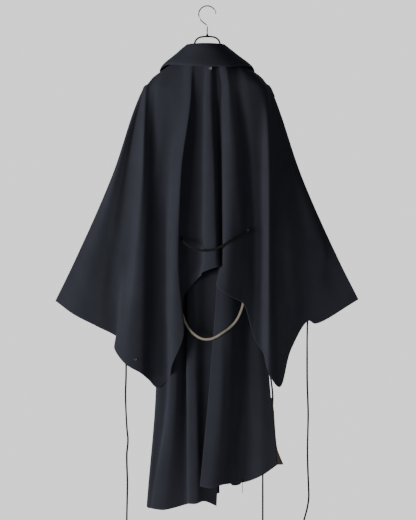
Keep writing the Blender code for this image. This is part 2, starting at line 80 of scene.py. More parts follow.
HOOK_RADIUS, HOOK_WIRE, STEM_END_Z = 24, 3.5, -77
FERRULE_RADIUS, FERRULE_HEIGHT = 3.6, 4.2
HOOK_START, HOOK_END = 4, 222        # degrees: where the hook's round part starts and ends
# The bead at each end of the ferrule: how far in from its radius and up from its end.
FERRULE_BORE = 0.4
FERRULE_BEAD = [(0.7, 0), (0.2, 0.2), (0, 0.6), (0.25, 1.1), (0.5, 1.4)]
ROD = 4.8
THREAD = 1.6
# The two twists of a hanging tie, in radians, and how far apart the second one's turns are.
LONG_TWIST, SHORT_TWIST, SHORT_WAVE = 0.35, 0.2, 31

BUTTON, BUTTON_THICK = 20, 3.6
BUTTON_HEIGHTS = (-262, -392, -522, -652)
BACK_BUTTON, BACK_BUTTON_THICK = 8.5, 3.0
BACK_BUTTON_AT = (9, -180)
EYELET_RADIUS, EYELET_WIRE = 2.6, 0.7
WAIST_EYELET_AT = (112, -628)
HEM_EYELET_AT = (-200, -985)

EDGE_ROW = 1.0           # an extra row of points this far inside each border rounds it over crisply
EDGE_BULGE = 0.3         # how far a raw edge's middle bulges out, as a share of the wall
END_BULGE = 0.3          # how far the end of a tape or cord bulges out
LINED_FROM = 1.5         # the lining starts this many hem bands above the hem
HEM_STEP = 3             # the hem's extra thickness comes in over this height
HEM_TAPER = 8            # and goes again over this width at the sides
NO_STITCHES = 1000       # takes the hem's sewing line out of reach on a piece that has none
CREASE_TAPER = 25        # creases fade over this width at the sides

# A slow ripple keeps plain cloth alive.  Each row is one sine of x / across + z / along + start.
Ripple = namedtuple("Ripple", "height across along start")
RIPPLES = [
    Ripple(0.5, 23, 260, 1.1), Ripple(0.4, 37, -190, 0.4), Ripple(0.3, 14.5, 410, 0), Ripple(0.3, 90, 61, 0),
    Ripple(0.2, 9.3, 120, 2),
]
RIPPLE_SHARE, RIPPLE_DROP = 0.6, 160

# One row for each fold line: x at the seam, at the levels and at the hem, the hem's height, and how far the
# line stands out from the shoulder plane at the levels and the hem.
Fold = namedtuple("Fold", "name seam high middle low hem hem_z out_high out_middle out_low out_hem")

CAPE_BACK = [
    #    name                seam  high  mid   low   hem  hem_z  out: high mid low hem
    Fold("left wing edge",   -172, -182, -266, -370, -425, -824, 2.2, 2.2, 2.2, 2.2),
    Fold("left wing ridge",  -169, -180, -257, -324, -372, -862, 5, 17, 14, 16),
    Fold("left wing slope",  -167, -179, -240, -283, -308, -895, 7, 14, 12, 14),
    Fold("left wing valley", -165, -178, -222, -246, -250, -928, 9, 10, 8, 13),
    Fold("flute 1 flank",    -160, -176, -200, -217, -260, -952, 15, 22, 17, 42),
    Fold("flute 1 crest",    -154, -172, -181, -200, -229, -996, 25, 54, 50, 60),
    Fold("flute 1 fall",     -146, -161, -166, -177, -183, -1024, 24, 47, 50, 54),
    Fold("flute 1 foot",     -134, -149, -149, -150, -163, -1042, 28, 33, 29, 38),
    Fold("left point",       -118, -136, -133, -127, -139, -1065, 35, 29, 20, 28),
    Fold("flute 2 foot",     -98,  -97,  -109, -112, -109, -1042, 43, 31, 20, 24),
    Fold("flute 2 flank",    -72,  -68,  -95,  -101, -100, -1006, 50, 47, 53, 56),
    Fold("flute 2 edge",     -46,  -46,  -73,  -81,  -65,  -917, 60, 64, 62, 62),
    Fold("recess left",      -30,  -38,  -66,  -73,  -66,  -814, 54, 45, 45, 45),
    Fold("recess right",     -6,   -10,  -12,  -14,  -20,  -753, 51, 38, 35, 40),
    Fold("flute 3 left",     -2,   -5,   -7,   -9,   -16,  -744, 56, 59, 62, 66),
    Fold("flute 3 right",    9,    8,    19,   27,   30,   -728, 61, 64, 71, 76),
    Fold("narrow valley",    22,   34,   35,   38,   40,   -734, 47, 43, 44, 48),
    Fold("flute 4 edge",     37,   52,   50,   46,   24,   -780, 58, 69, 69, 70),
    Fold("flute 4 crest",    47,   59,   66,   60,   46,   -799, 62, 75, 71, 74),
    Fold("flute 4 fall",     61,   72,   91,   84,   76,   -816, 58, 66, 61, 62),
    Fold("flute 4 foot",     76,   88,   112,  112,  101,  -831, 52, 52, 46, 50),
    Fold("right valley",     100,  114,  130,  138,  132,  -930, 51, 46, 35, 40),
    Fold("flute 5 flank",    128,  150,  153,  158,  154,  -967, 41, 45, 38, 43),
    Fold("flute 5 edge",     146,  167,  169,  167,  166,  -1014, 26, 66, 82, 84),
    Fold("right point",      156,  174,  186,  188,  201,  -1061, 15, 54, 71, 70),
    Fold("right wing fall",  163,  177,  212,  228,  232,  -959, 10, 34, 55, 54),
    Fold("right notch",      168,  179,  236,  284,  282,  -879, 6, 20, 30, 32),
    Fold("right wing ridge", 170,  179.5, 250, 326,  302,  -887, 4, 12, 18, 26),
    Fold("right wing edge",  172,  180,  263,  368,  423,  -820, 2.2, 2.2, 2.2, 2.2),
]

CAPE_FRONT_LEFT = [
    Fold("wing edge",    -172, -182, -266, -370, -425, -824, 2.2, 2.2, 2.2, 2.2),
    Fold("wing ridge",   -164, -170, -226, -292, -330, -862, 12, 22, 30, 30),
    Fold("wing valley",  -154, -160, -200, -246, -268, -896, 20, 32, 26, 22),
    Fold("flute crest",  -140, -148, -176, -206, -226, -960, 32, 56, 70, 78),
    Fold("valley",       -122, -126, -142, -158, -166, -1008, 40, 47, 46, 50),
    Fold("point",        -98,  -102, -122, -130, -134, -1040, 46, 53, 60, 68),
    Fold("front crest",  -70,  -78,  -94,  -100, -102, -990, 54, 64, 78, 86),
    Fold("front valley", -50,  -54,  -66,  -74,  -76,  -926, 56, 54, 56, 58),
    Fold("opening edge", -20,  -32,  -44,  -54,  -60,  -884, 58, 56, 60, 64),
]

CAPE_FRONT_RIGHT = [
    Fold("opening edge", 20,   32,   46,   58,   64,   -876, 58, 56, 60, 66),
    Fold("front valley", 50,   54,   70,   80,   84,   -922, 56, 54, 55, 57),
    Fold("front crest",  70,   79,   98,   106,  110,  -984, 54, 65, 76, 84),
    Fold("point",        98,   104,  126,  138,  146,  -1034, 46, 52, 58, 64),
    Fold("valley",       124,  130,  150,  170,  180,  -996, 39, 45, 44, 48),
    Fold("flute crest",  142,  152,  184,  222,  236,  -920, 30, 52, 66, 74),
    Fold("wing valley",  156,  165,  210,  270,  290,  -862, 18, 28, 24, 22),
    Fold("wing ridge",   166,  174,  236,  312,  352,  -844, 10, 18, 26, 28),
    Fold("wing edge",    172,  180,  263,  368,  423,  -820, 2.2, 2.2, 2.2, 2.2),
]

COAT_BACK_LEFT = [
    Fold("side seam",    -148, -128, -141, -143, -170, -1398, 26, 2.2, 2.2, 2.2),
    Fold("side ridge",   -128, -116, -128, -137, -167, -1402, 31, 12, 21, 10),
    Fold("side crease",  -114, -107, -114, -110, -159, -1403, 34, 15, 22, 13),
    Fold("flute 1 edge", -106, -101, -109, -103, -152, -1404, 36, 17, 31, 17),
    Fold("flute 1 face", -80,  -80,  -90,  -87,  -120, -1407, 41, 20, 33, 20),
    Fold("deep crease",  -54,  -49,  -57,  -56.5, -53.5, -1391, 44, 20, 14, 8),
    Fold("flute 2 edge", -46,  -46,  -54,  -57.5, -54.5, -1388, 45, 20, 33, 33),
    Fold("flute 2 face", -32,  -30,  -30,  -35,  -31,  -1388, 45, 20.5, 36, 35),
    Fold("foot",         -16,  -14,  4,    -8,   -9,   -1382, 45, 20, 22, 24),
    Fold("under lap",    -3,   4,    56,   40,   26,   -1397, 44, 19.5, 20, 10),
]

COAT_BACK_RIGHT = [
    Fold("lap edge",     3,    8,    38,   9,    -20,  -1337, 49, 29, 51, 56),
    Fold("light flute",  18,   22,   54,   35,   13,   -1342, 50, 30, 54, 58),
    Fold("dark flank",   42,   44,   74,   60,   42,   -1334, 48, 28, 46, 47),
    Fold("valley",       62,   68,   93,   82,   70,   -1332, 44, 24, 30, 30),
    Fold("hem dip",      84,   88,   112,  115,  110,  -1329, 40, 20, 11, 13),
    Fold("side ridge",   108,  104,  124,  148,  154,  -1311, 35, 15, 10, 11),
    Fold("side seam",    148,  128,  141,  172,  195,  -1284, 26, 2.2, 2.2, 2.2),
]

COAT_FRONT_LEFT = [
    Fold("side seam",    -148, -128, -141, -143, -170, -1398, 26, 2.2, 2.2, 2.2),
    Fold("side ridge",   -104, -100, -108, -112, -130, -1402, 34, 30, 40, 52),
    Fold("valley",       -72,  -68,  -72,  -74,  -82,  -1392, 40, 34, 32, 36),
    Fold("front ridge",  -44,  -42,  -40,  -40,  -44,  -1384, 46, 40, 44, 52),
    Fold("centre",       -18,  -2,   0,    0,    2,    -1374, 51, 42, 44, 50),
    Fold("lap edge",     -5,   26,   28,   30,   34,   -1368, 52, 43, 46, 53),
]

COAT_FRONT_RIGHT = [
    Fold("under lap",    5,    -26,  -28,  -30,  -26,  -1358, 45, 37, 38, 42),
    Fold("centre",       18,   2,    0,    0,    4,    -1350, 45, 37, 38, 42),
    Fold("front ridge",  44,   48,   50,   58,   57,   -1331, 44, 37, 40, 46),
    Fold("facing edge",  50,   53,   56,   65,   66,   -1332, 43.5, 36.5, 39, 45),
    Fold("facing",       54,   57,   60,   69,   69.5, -1344, 43, 36, 38, 44),
    Fold("valley",       72,   74,   82,   94,   91,   -1342, 40, 33, 32, 36),
    Fold("hem rise",     80,   81,   89,   103,  99,   -1333, 39, 32, 32, 37),
    Fold("side ridge",   104,  102,  112,  136,  146,  -1310, 34, 29, 38, 48),
    Fold("side seam",    148,  128,  141,  172,  195,  -1284, 26, 2.2, 2.2, 2.2),
]

# Creases laid over the folds: each runs from (x, z) to (end_x, end_z) and bows sideways; a ridge is raised,
# a trough has a negative height.
Crease = namedtuple("Crease", "x z end_x end_z bow width height")

CAPE_BACK_CREASES = [
    Crease(-120, -250, -150, -520, -6, 12, 1.6),
    Crease(-190, -420, -250, -700, 8, 16, -1.8),
    Crease(-300, -560, -352, -800, 6, 22, 1.8),
    Crease(-262, -640, -288, -880, -6, 14, -1.6),
    Crease(-46, -480, -44, -740, 4, 9, 1.4),
    Crease(-110, -620, -108, -900, 5, 10, 1.5),
    Crease(76, -300, 96, -640, 6, 12, 1.4),
    Crease(150, -560, 146, -880, -5, 9, -1.2),
    Crease(250, -430, 300, -700, -6, 16, 1.6),
    Crease(212, -600, 232, -900, 6, 15, -1.8),
    Crease(300, -640, 372, -810, 8, 18, -1.4),
    Crease(-150, -215, -90, -235, 4, 9, 0.8),
    Crease(96, -205, 150, -240, -4, 10, 0.8),
]

CAPE_FRONT_CREASES = [
    Crease(-112, -300, -136, -620, 5, 12, 1.6),
    Crease(-196, -420, -240, -700, 6, 14, -1.6),
    Crease(-300, -560, -350, -790, -5, 20, 1.6),
    Crease(-84, -420, -86, -820, 4, 9, 1.4),
    Crease(116, -320, 140, -640, -5, 12, 1.6),
    Crease(206, -430, 262, -720, -6, 14, -1.6),
    Crease(300, -560, 352, -780, 6, 20, 1.5),
    Crease(86, -440, 92, -830, -4, 9, 1.4),
]

COAT_BACK_CREASES = [
    Crease(-86, -760, -108, -1240, 5, 9, 1.4),
    Crease(-138, -1000, -154, -1340, -3, 8, -1.4),
    Crease(-28, -1040, -22, -1330, 3, 7, 1.0),
    Crease(40, -900, 30, -1250, -5, 10, 1.4),
    Crease(110, -1080, 84, -1300, 8, 12, -2.2),
    Crease(128, -900, 134, -1200, 5, 10, 1.4),
]

COAT_FRONT_CREASES = [
    Crease(-92, -620, -104, -1180, 5, 11, 1.6),
    Crease(-56, -820, -62, -1300, -4, 9, 1.2),
    Crease(70, -640, 82, -1160, -5, 11, 1.6),
    Crease(120, -900, 130, -1240, 5, 10, -1.6),
    Crease(-110, -300, -120, -470, 3, 10, 1.2),
    Crease(110, -300, 120, -470, -3, 10, 1.2),
]

# The collar's fall: where its outer edge lies, for each direction from the neck's middle.
Rim = namedtuple("Rim", "angle edge_x edge_y edge_z fold_z")
COLLAR = [
    Rim(-158, -46,  90,  -262, -166),
    Rim(-140, -78,  86,  -248, -150),
    Rim(-115, -118, 54,  -206, -122),
    Rim(-90,  -131, 2,   -178, -109),
    Rim(-62,  -111, -24, -166, -109),
    Rim(-42,  -80,  -48, -168, -109),
    Rim(-22,  -42,  -69, -172, -109),
    Rim(0,    4,    -78, -175, -109),
    Rim(22,   54,   -71, -175, -109),
    Rim(44,   92,   -48, -171, -109),
    Rim(64,   115,  -24, -171, -109),
    Rim(90,   130,  2,   -179, -110),
    Rim(115,  120,  54,  -207, -122),
    Rim(140,  80,   86,  -248, -150),
    Rim(158,  48,   90,  -262, -166),
]
STAND_WIDTH, STAND_DEPTH, STAND_TUCK = 54.5, 47.5, 2
FOLD_WIDTH, FOLD_DEPTH, FOLD_SHIFT, FOLD_ROUND = 52, 46, -4, 4
BROW_IN, BROW_UP, FRONT_FULLER = 0.07, 9, 8
COLLAR_HEM, COLLAR_HEM_EXTRA = 7, 0.4

# The lining's strip past the coat's side: its width and how far it flares to the front, at each height.
LiningRow = namedtuple("LiningRow", "z width flare")
LINING_EDGE = [
    LiningRow(-1096, 3, 0),
    LiningRow(-1130, 5, 1),
    LiningRow(-1175, 4, 1),
    LiningRow(-1215, 3.5, 1),
    LiningRow(-1240, 5, 2),
    LiningRow(-1262, 11, 4),
    LiningRow(-1283, 18, 7),
]
LINING_WALL, LINING_OUT = 1.2, 0.6
LINING_RIPPLE, LINING_WAVE = 0.5, 13

HOOK_TAIL = [(-16, -40.5), (-9, -46.5), (-3, -51.5), (0, -57.5), (0, -66)]
FRAME_ARCH = [(0, -84), (12, -84.6), (23, -87.2), (31, -93.5), (36, -104), (40, -124), (46, -140.5), (56, -149)]
FRAME_ARM = [(66, -155), (100, -175), (130, -193.8), (146, -205.4), (157, -214.5), (161, -224), (160, -232)]

# Routes of the tapes and cords, from where each is sewn on to its free end.
WAIST_TAPE = [
    (-72.2, -48.5, -645.5), (-69, -52.8, -653), (-61.5, -57.4, -663), (-50, -62, -671), (-36, -66.6, -678),
    (-20, -70.2, -683), (-4, -72.1, -684), (12, -73.1, -682), (28, -74.3, -677), (42, -75.1, -670),
    (56, -75, -661), (63, -73.9, -656.5), (71, -72, -651.5), (84, -66.7, -644), (97, -60.1, -636),
    (106, -55.4, -629), (109.5, -53.7, -625.5),
]
SEAT_TAPE = [
    (-78, -57.6, -832), (-73.5, -55, -846), (-68.6, -51, -862), (-61.5, -48.6, -881), (-49, -48.4, -903),
    (-31, -48.6, -920), (-12, -50.3, -929), (8, -52.2, -929), (26, -53.3, -922), (34, -53.6, -917),
    (42, -53, -912), (50, -51.6, -906.5), (58, -49.3, -901), (73, -46.7, -887), (85, -46.2, -870),
    (93, -46.4, -852), (98, -45.7, -836), (100, -44.9, -822),
]
LEFT_TIE = [
    (-225, -55, -984), (-225, -55.2, -1000), (-225, -55.2, -1020), (-225.5, -55.1, -1045), (-226.5, -55, -1070),
    (-226.5, -54.9, -1095), (-225.5, -54.8, -1125), (-224, -54.8, -1155), (-222.5, -54.8, -1180),
    (-220, -54.8, -1205), (-220.5, -54.8, -1222), (-223, -54.8, -1245), (-223, -54.8, -1275),
    (-221.5, -54.8, -1320), (-222, -54.8, -1370), (-223, -54.8, -1420), (-223, -54.8, -1470),
]
RIGHT_TIE = [
    (279, -28.8, -862), (279, -28.8, -880), (278.5, -28.7, -905), (278, -28.6, -940), (278, -28.6, -980),
    (278, -28.6, -1020), (278.5, -28.6, -1060), (280, -28.6, -1100), (281, -28.6, -1140), (280, -28.6, -1190),
    (279, -28.6, -1240), (280, -28.6, -1290), (282, -28.6, -1340), (282.5, -28.6, -1372), (278, -28.6, -1402),
    (271, -28.6, -1428), (267, -28.6, -1442),
]
INNER_TIE = [
    (166, 47.4, -985), (168, 43.5, -1000), (173, 37, -1020), (178, 30, -1040), (181, 25, -1060),
    (183, 21, -1080), (184, 19, -1100), (183, 21, -1125), (180, 27, -1150), (175, 36, -1178), (169, 47, -1208),
    (162, 57, -1245), (158, 61, -1285), (157, 61, -1330), (157, 61, -1380), (157, 61, -1430), (157, 61, -1480),
]
TAIL = [
    (98, -16.6, -1322), (98, -16.7, -1326), (98, -16.7, -1330), (98, -16.6, -1334), (98, -16.5, -1338),
    (98, -16.5, -1342), (98.2, -16.5, -1346), (98.2, -16.5, -1350), (98, -16.5, -1354), (98, -16.5, -1357),
    (98, -16.5, -1360),
]

# A button's half section, from its middle below to its middle above: shares of its radius and half thickness.
BUTTON_PROFILE = [
    (0.02, -1), (0.7, -1), (0.93, -0.6), (1, 0), (0.97, 0.6), (0.9, 1), (0.8, 1), (0.7, 0.7), (0.6, 0.5),
    (0.45, 0.45), (0.36, 0.45), (0.3, 0.45), (0.24, 0.45), (0.18, 0.45), (0.1, 0.45), (0.02, 0.45),
]
BUTTON_HOLES_OUT, BUTTON_HOLE, BUTTON_HOLE_DEPTH = 0.24, 0.1, 0.5

# The panels: flat is the cut of what shows in metres, across and down, and area is in square metres.
Panel = namedtuple("Panel", "name node side rows middle_z folds creases flat area")
COAT_PANELS = [
    Panel("skirt_back_left", "coat_back_left", -1, 120, NECK_BACK_Z,
          COAT_BACK_LEFT, COAT_BACK_CREASES, (0.34, 1.27), 0.30),
    Panel("skirt_back_right", "coat_back_right", -1, 120, NECK_BACK_Z,
          COAT_BACK_RIGHT, COAT_BACK_CREASES, (0.28, 1.21), 0.23),
    Panel("skirt_front_left", "coat_front_left", 1, 120, NECK_FRONT_Z,
          COAT_FRONT_LEFT, COAT_FRONT_CREASES, (0.30, 1.25), 0.27),
    Panel("skirt_front_right", "coat_front_right", 1, 120, NECK_FRONT_Z,
          COAT_FRONT_RIGHT, COAT_FRONT_CREASES, (0.30, 1.22), 0.27),
]
CAPE_PANELS = [
    Panel("cape_drape_back", "cape_back", -1, 150, NECK_BACK_Z,
          CAPE_BACK, CAPE_BACK_CREASES, (1.3, 0.93), 0.64),
    Panel("cape_drape_left", "cape_front_left", 1, 120, NECK_FRONT_Z,
          CAPE_FRONT_LEFT, CAPE_FRONT_CREASES, (0.55, 0.93), 0.26),
    Panel("cape_drape_right", "cape_front_right", 1, 120, NECK_FRONT_Z,
          CAPE_FRONT_RIGHT, CAPE_FRONT_CREASES, (0.55, 0.93), 0.26),
]

# The camera stands level, straight behind the coat, and a pixel of the photograph is PIXEL wide at the coat.
PIXEL, PICTURE_HEIGHT, SENSOR = 2.8, 520, 24
VIEW_CENTRE = (1.96, 0, -709.8)
FLOOR_RADIUS = 2900
FILL_TINT, SURROUND_TINT = (1.0, 0.985, 0.96, 1), (0.985, 0.98, 1.0, 1)

# Soft square lamps that face the coat; share is their power as a share of the key light's.
Lamp = namedtuple("Lamp", "name x y z size share tint")
LAMPS = [
    Lamp("key light", -3700, -2300, -1200, 1500, 1.0, (1.0, 0.985, 0.97)),
    Lamp("side light", 3600, -2600, -200, 1600, 0.03, (1.0, 0.98, 0.95)),
    Lamp("front light", 2400, 3600, 600, 2000, 0.7, (1.0, 0.99, 0.98)),
]


# ---------------------------------------------------------------- settings a user would change

def length(name, description, millimetres, low=0.1, high=60.0):
    return FloatProperty(
        name=name, description=description, default=millimetres * MM, min=low * MM, max=high * MM,
        subtype="DISTANCE", unit="LENGTH", precision=4,
    )


def linear(code):
    """A colour written as sRGB hex, turned to the linear values that shaders take."""
    parts = [int(code[k:k + 2], 16) / 255 for k in (1, 3, 5)]
    return tuple(p / 12.92 if p <= 0.04045 else ((p + 0.055) / 1.055) ** 2.4 for p in parts)


def colour(name, description, code):
    return FloatVectorProperty(
        name=name, description=description, default=linear(code), min=0, max=1, size=3, subtype="COLOR"
    )


def amount(name, description, value, low=0.0, high=1.0):
    return FloatProperty(name=name, description=description, default=value, min=low, max=high, subtype="FACTOR")


class ClothSettings(bpy.types.PropertyGroup):
    """The wool of cape, coat and collar, and the satin inside."""

    wall: length("Wool", "Thickness of the wool", 2.0, 1, 3)
    hem_band: length("Hem Band", "Height of the turned-up hem", 28)
    hem_extra: length("Hem Extra", "How much thicker the turned-up hem is", 1.0, 0, 2)
    twill: length("Twill", "Spacing of the diagonal ribs in the wool", 2.2, 0.5, 8)
    stitch: length("Stitch", "Length of one stitch with its gap", 4.5, 2, 12)
    crease: amount("Creases", "How strongly the hand-placed creases show", 1.0, 0, 2)
    wool: colour("Wool", "Black wool gabardine", "#383a42")
    wool_light: colour("Worn Wool", "The same wool where its nap is rubbed", "#42454f")
    satin: colour("Lining", "Brown satin of the lining", "#6b5b50")


class TrimSettings(bpy.types.PropertyGroup):
    """Tapes, cords, buttons and the hanger."""

    tape_width: length("Tape Width", "Width of the two flat tapes", 6.2, 3, 14)
    tape_thick: length("Tape Thickness", "Thickness of the two flat tapes", 1.5, 0.5, 4)
    tie_width: length("Tie Width", "Width of the flat tie cords", 5.0, 2, 8)
    tie_thick: length("Tie Thickness", "Thickness of the flat tie cords", 1.3, 0.5, 4)
    tape: colour("Pale Tape", "Undyed cotton tape", "#c0b6a5")
    cord: colour("Black Cord", "Dyed cotton cord", "#101012")
    pale_horn: colour("Pale Horn", "Small back button", "#a09591")
    dark_horn: colour("Dark Horn", "Front buttons", "#2e2420")
    nickel: colour("Nickel", "Hook of plated wire", "#bba68d")
    dull_nickel: colour("Dull Nickel", "Ferrule, gone dark", "#5a5048")
    enamel: colour("Enamel", "Painted rod of the hanger", "#0d0d0e")


class StageSettings(bpy.types.PropertyGroup):
    """Floor, light and camera."""

    paper: colour("Floor", "Pale seamless paper", "#e9e7e8")
    key: amount("Key Light", "Watts of the large soft light at the left", 170.0, 0, 2000)
    fill: amount("Fill", "Strength of the even light from all round", 0.11, 0, 4)
    surround: amount("Surroundings", "Brightness of the pale surroundings", 1.3, 0, 4)
    floor: length("Floor Height", "Depth of the floor below the hook", 1850, 1500, 2500)
    distance: length("Camera Distance", "From the camera to the coat", 5500, 2000, 9000)


# ---------------------------------------------------------------- materials

ONE_BAND = 0.314         # the scale at which a wave texture has one band in each metre


def add(tree, kind, place, inputs=(), **settings):
    """A node of a kind at a place; inputs are (socket, value or the socket it is fed from)."""
    node = tree.nodes.new("ShaderNode" + kind)
    node.location = place[0] * 200, place[1] * 200
    for name, value in settings.items():
        setattr(node, name, value)
    for socket, value in inputs:
        target = node.inputs[socket]
        if isinstance(value, bpy.types.NodeSocket):
            tree.links.new(value, target)
        else:
            target.default_value = value
    return node


def noise(tree, place, vector, scale, detail, distortion=0):
    return add(
        tree, "TexNoise", place,
        [("Vector", vector), ("Scale", scale), ("Detail", detail), ("Distortion", distortion)],
    ).outputs["Fac"]


def maths(tree, place, operation, first, second, **settings):
    return add(tree, "Math", place, [(0, first), (1, second)], operation=operation, **settings).outputs[0]


def ramp(tree, place, value, start, end, low=0, high=1):
    """Goes from low where value is start to high where it is end, and stays there."""
    return add(
        tree, "MapRange", place,
        [("Value", value), ("From Min", start), ("From Max", end), ("To Min", low), ("To Max", high)],
    ).outputs[0]


def emboss(tree, shader, place, height, strength, metres):
    """Bumps the shader's surface by height, which stands for this many metres."""
    bump = add(tree, "Bump", place, [("Height", height), ("Strength", strength), ("Distance", metres)])
    tree.links.new(bump.outputs[0], shader.inputs["Normal"])


def finish_of(name, base, roughness, **sockets):
    """A new material with a Principled shader; constants go on the shader's own sockets."""
    material = bpy.data.materials.new(name)
    material.use_nodes = True
    tree = material.node_tree
    shader = tree.nodes["Principled BSDF"]
    shader.inputs["Base Color"].default_value = (*base, 1)
    shader.inputs["Roughness"].default_value = roughness
    for socket, value in sockets.items():
        shader.inputs[socket.replace("_", " ")].default_value = value
    return material, tree, shader


def blend_of(tree, place, share, first, second):
    """A colour that goes from first to second with share."""
    return add(
        tree, "Mix", place, [("Factor", share), (6, (*first, 1)), (7, (*second, 1))], data_type="RGBA"
    ).outputs[2]


def wool_gabardine(name, cloth):
    """Black wool gabardine, pressed: a fine steep twill and a short nap make it dull and bluish."""
    wool, tree, shader = finish_of(
        name, cloth.wool, 0.62,
        Sheen_Weight=0.05, Sheen_Roughness=0.6, Sheen_Tint=(0.72, 0.8, 1.0, 1), Specular_IOR_Level=0.0,
    )
    place = add(tree, "UVMap", (-7, 0), uv_map="cloth").outputs[0]
    # Twill ribs run at 63 degrees.  Real ones are 0.5 mm apart, drawn coarser so that they show.
    slant = 0, 0, math.radians(27)
    slanted = add(tree, "Mapping", (-6, 0), [("Vector", place), ("Rotation", slant)]).outputs[0]
    ribs = add(
        tree, "TexWave", (-5, 0),
        [("Vector", slanted), ("Scale", ONE_BAND / cloth.twill), ("Distortion", 0.6), ("Detail", 1),
         ("Detail Scale", 3)],
    ).outputs["Fac"]
    nap = noise(tree, (-5, -1), place, 420, 3)
    cloudy = noise(tree, (-5, -2), place, 11, 4)
    worn = add(tree, "Attribute", (-5, -3), attribute_name="edge").outputs["Fac"]
    hem = add(tree, "Attribute", (-5, -4), attribute_name="hem").outputs["Fac"]
    sideways = add(tree, "SeparateXYZ", (-5, -5), [("Vector", place)]).outputs[0]

    # Wear: the outer 6 mm of an edge is rubbed a little lighter, unevenly.
    rubbed = ramp(tree, (-4, -3), worn, 0.006, 0, 0, 0.55)
    uneven = maths(tree, (-3, -3), "MULTIPLY", rubbed, nap)
    mottle = ramp(tree, (-4, -2), cloudy, 0.3, 0.7, 0, 0.35)
    light = maths(tree, (-2, -2), "ADD", mottle, uneven, use_clamp=True)
    shade = blend_of(tree, (-1, 0), light, cloth.wool, cloth.wool_light)

    # The hem's sewing line: a narrow dent at the band's height, with a stitch every few millimetres.
    off_line = maths(tree, (-4, -4), "SUBTRACT", hem, cloth.hem_band)
    away = maths(tree, (-3, -4), "ABSOLUTE", off_line, 0)
    line = ramp(tree, (-2, -4), away, 0.0012, 0)
    step = maths(tree, (-4, -5), "DIVIDE", sideways, cloth.stitch)
    share = maths(tree, (-3, -5), "FRACT", step, 0)
    dash = ramp(tree, (-2, -5), share, 0.3, 0.45)
    sewn = maths(tree, (-1, -4), "MULTIPLY", line, dash)
    thread = blend_of(tree, (0, -1), sewn, (0, 0, 0), (0.004, 0.004, 0.005))
    total = add(
        tree, "Mix", (1, 0), [("Factor", 1.0), (6, shade), (7, thread)], data_type="RGBA", blend_type="ADD"
    ).outputs[2]

    relief = maths(tree, (-4, 0), "MULTIPLY", ribs, 0.7)
    fuzz = maths(tree, (-3, 0), "ADD", nap, relief)
    dent = maths(tree, (0, -3), "MULTIPLY", line, -0.9)
    height = maths(tree, (1, -3), "ADD", fuzz, dent)
    emboss(tree, shader, (2, -2), height, 0.35, 0.0006)
    tree.links.new(total, shader.inputs["Base Color"])
    tree.links.new(ramp(tree, (1, -1), cloudy, 0.3, 0.7, 0.8, 0.95), shader.inputs["Roughness"])
    return wool


def satin_lining(name, cloth):
    """Brown viscose satin, pressed: long floats shine along the warp and soft ripples break the shine."""
    satin, tree, shader = finish_of(name, cloth.satin, 0.36, Sheen_Weight=0.1, Specular_IOR_Level=0.5)
    place = add(tree, "UVMap", (-5, 0), uv_map="cloth").outputs[0]
    long = add(tree, "Mapping", (-4, 0), [("Vector", place), ("Scale", (900, 40, 1))]).outputs[0]
    floats = noise(tree, (-3, 0), long, 1, 2)
    ripple = noise(tree, (-3, -1), place, 26, 2)
    darker = tuple(0.6 * c for c in cloth.satin)
    tree.links.new(blend_of(tree, (-1, 0), floats, darker, cloth.satin), shader.inputs["Base Color"])
    emboss(tree, shader, (-1, -1), maths(tree, (-2, -1), "ADD", floats, ripple), 0.3, 0.001)
    return satin


def woven_cotton(name, base, rib_mm, roughness):
    """Cotton tape or cord: dull yarns laid side by side across the length, a little uneven in tone."""
    cotton, tree, shader = finish_of(name, base, roughness, Sheen_Weight=0.15, Specular_IOR_Level=0.25)
    place = add(tree, "UVMap", (-5, 0), uv_map="cloth").outputs[0]
    ribs = add(
        tree, "TexWave", (-3, 0), [("Vector", place), ("Scale", ONE_BAND / (rib_mm * MM)), ("Distortion", 0.5)],
        bands_direction="Y",
    ).outputs["Fac"]
    mixed = maths(tree, (-2, 0), "MULTIPLY", ribs, noise(tree, (-3, -1), place, 700, 3))
    darker = tuple(0.62 * c for c in base)
    tree.links.new(blend_of(tree, (-1, 0), mixed, darker, base), shader.inputs["Base Color"])
    emboss(tree, shader, (-1, -1), mixed, 0.6, 0.0004)
    return cotton


def polished_horn(name, base):
    """Horn, turned and polished: glossy, with drifting streaks of a darker and a lighter layer."""
    horn, tree, shader = finish_of(name, base, 0.24, Coat_Weight=0.25, Coat_Roughness=0.12)
    place = add(tree, "TexCoord", (-5, 0)).outputs["Object"]
    long = add(tree, "Mapping", (-4, 0), [("Vector", place), ("Scale", (60, 60, 210))]).outputs[0]
    streaks = noise(tree, (-3, 0), long, 2, 4, 1.2)
    darker, lighter = tuple(0.45 * c for c in base), tuple(min(1, 1.35 * c) for c in base)
    tree.links.new(blend_of(tree, (-1, 0), streaks, darker, lighter), shader.inputs["Base Color"])
    return horn


def plated_steel(name, base):
    """Nickel-plated steel, drawn or turned: warm, and bright or gone dull, with faint marks of the tool."""
    steel, tree, shader = finish_of(name, base, 0.24, Metallic=1.0)
    marks = noise(tree, (-3, 0), add(tree, "TexCoord", (-5, 0)).outputs["Object"], 900, 2)
    tree.links.new(ramp(tree, (-2, 0), marks, 0, 1, 0.16, 0.36), shader.inputs["Roughness"])
    emboss(tree, shader, (-1, -1), marks, 0.12, 0.0002)
    return steel


def stove_enamel(name, base):
    """Stove enamel on steel rod, dipped: black, with a dull gloss and a slight orange peel."""
    enamel, tree, shader = finish_of(name, base, 0.42, Coat_Weight=0.12, Coat_Roughness=0.25)
    peel = noise(tree, (-3, 0), add(tree, "TexCoord", (-5, 0)).outputs["Object"], 450, 1)
    emboss(tree, shader, (-1, 0), peel, 0.15, 0.0003)
    return enamel


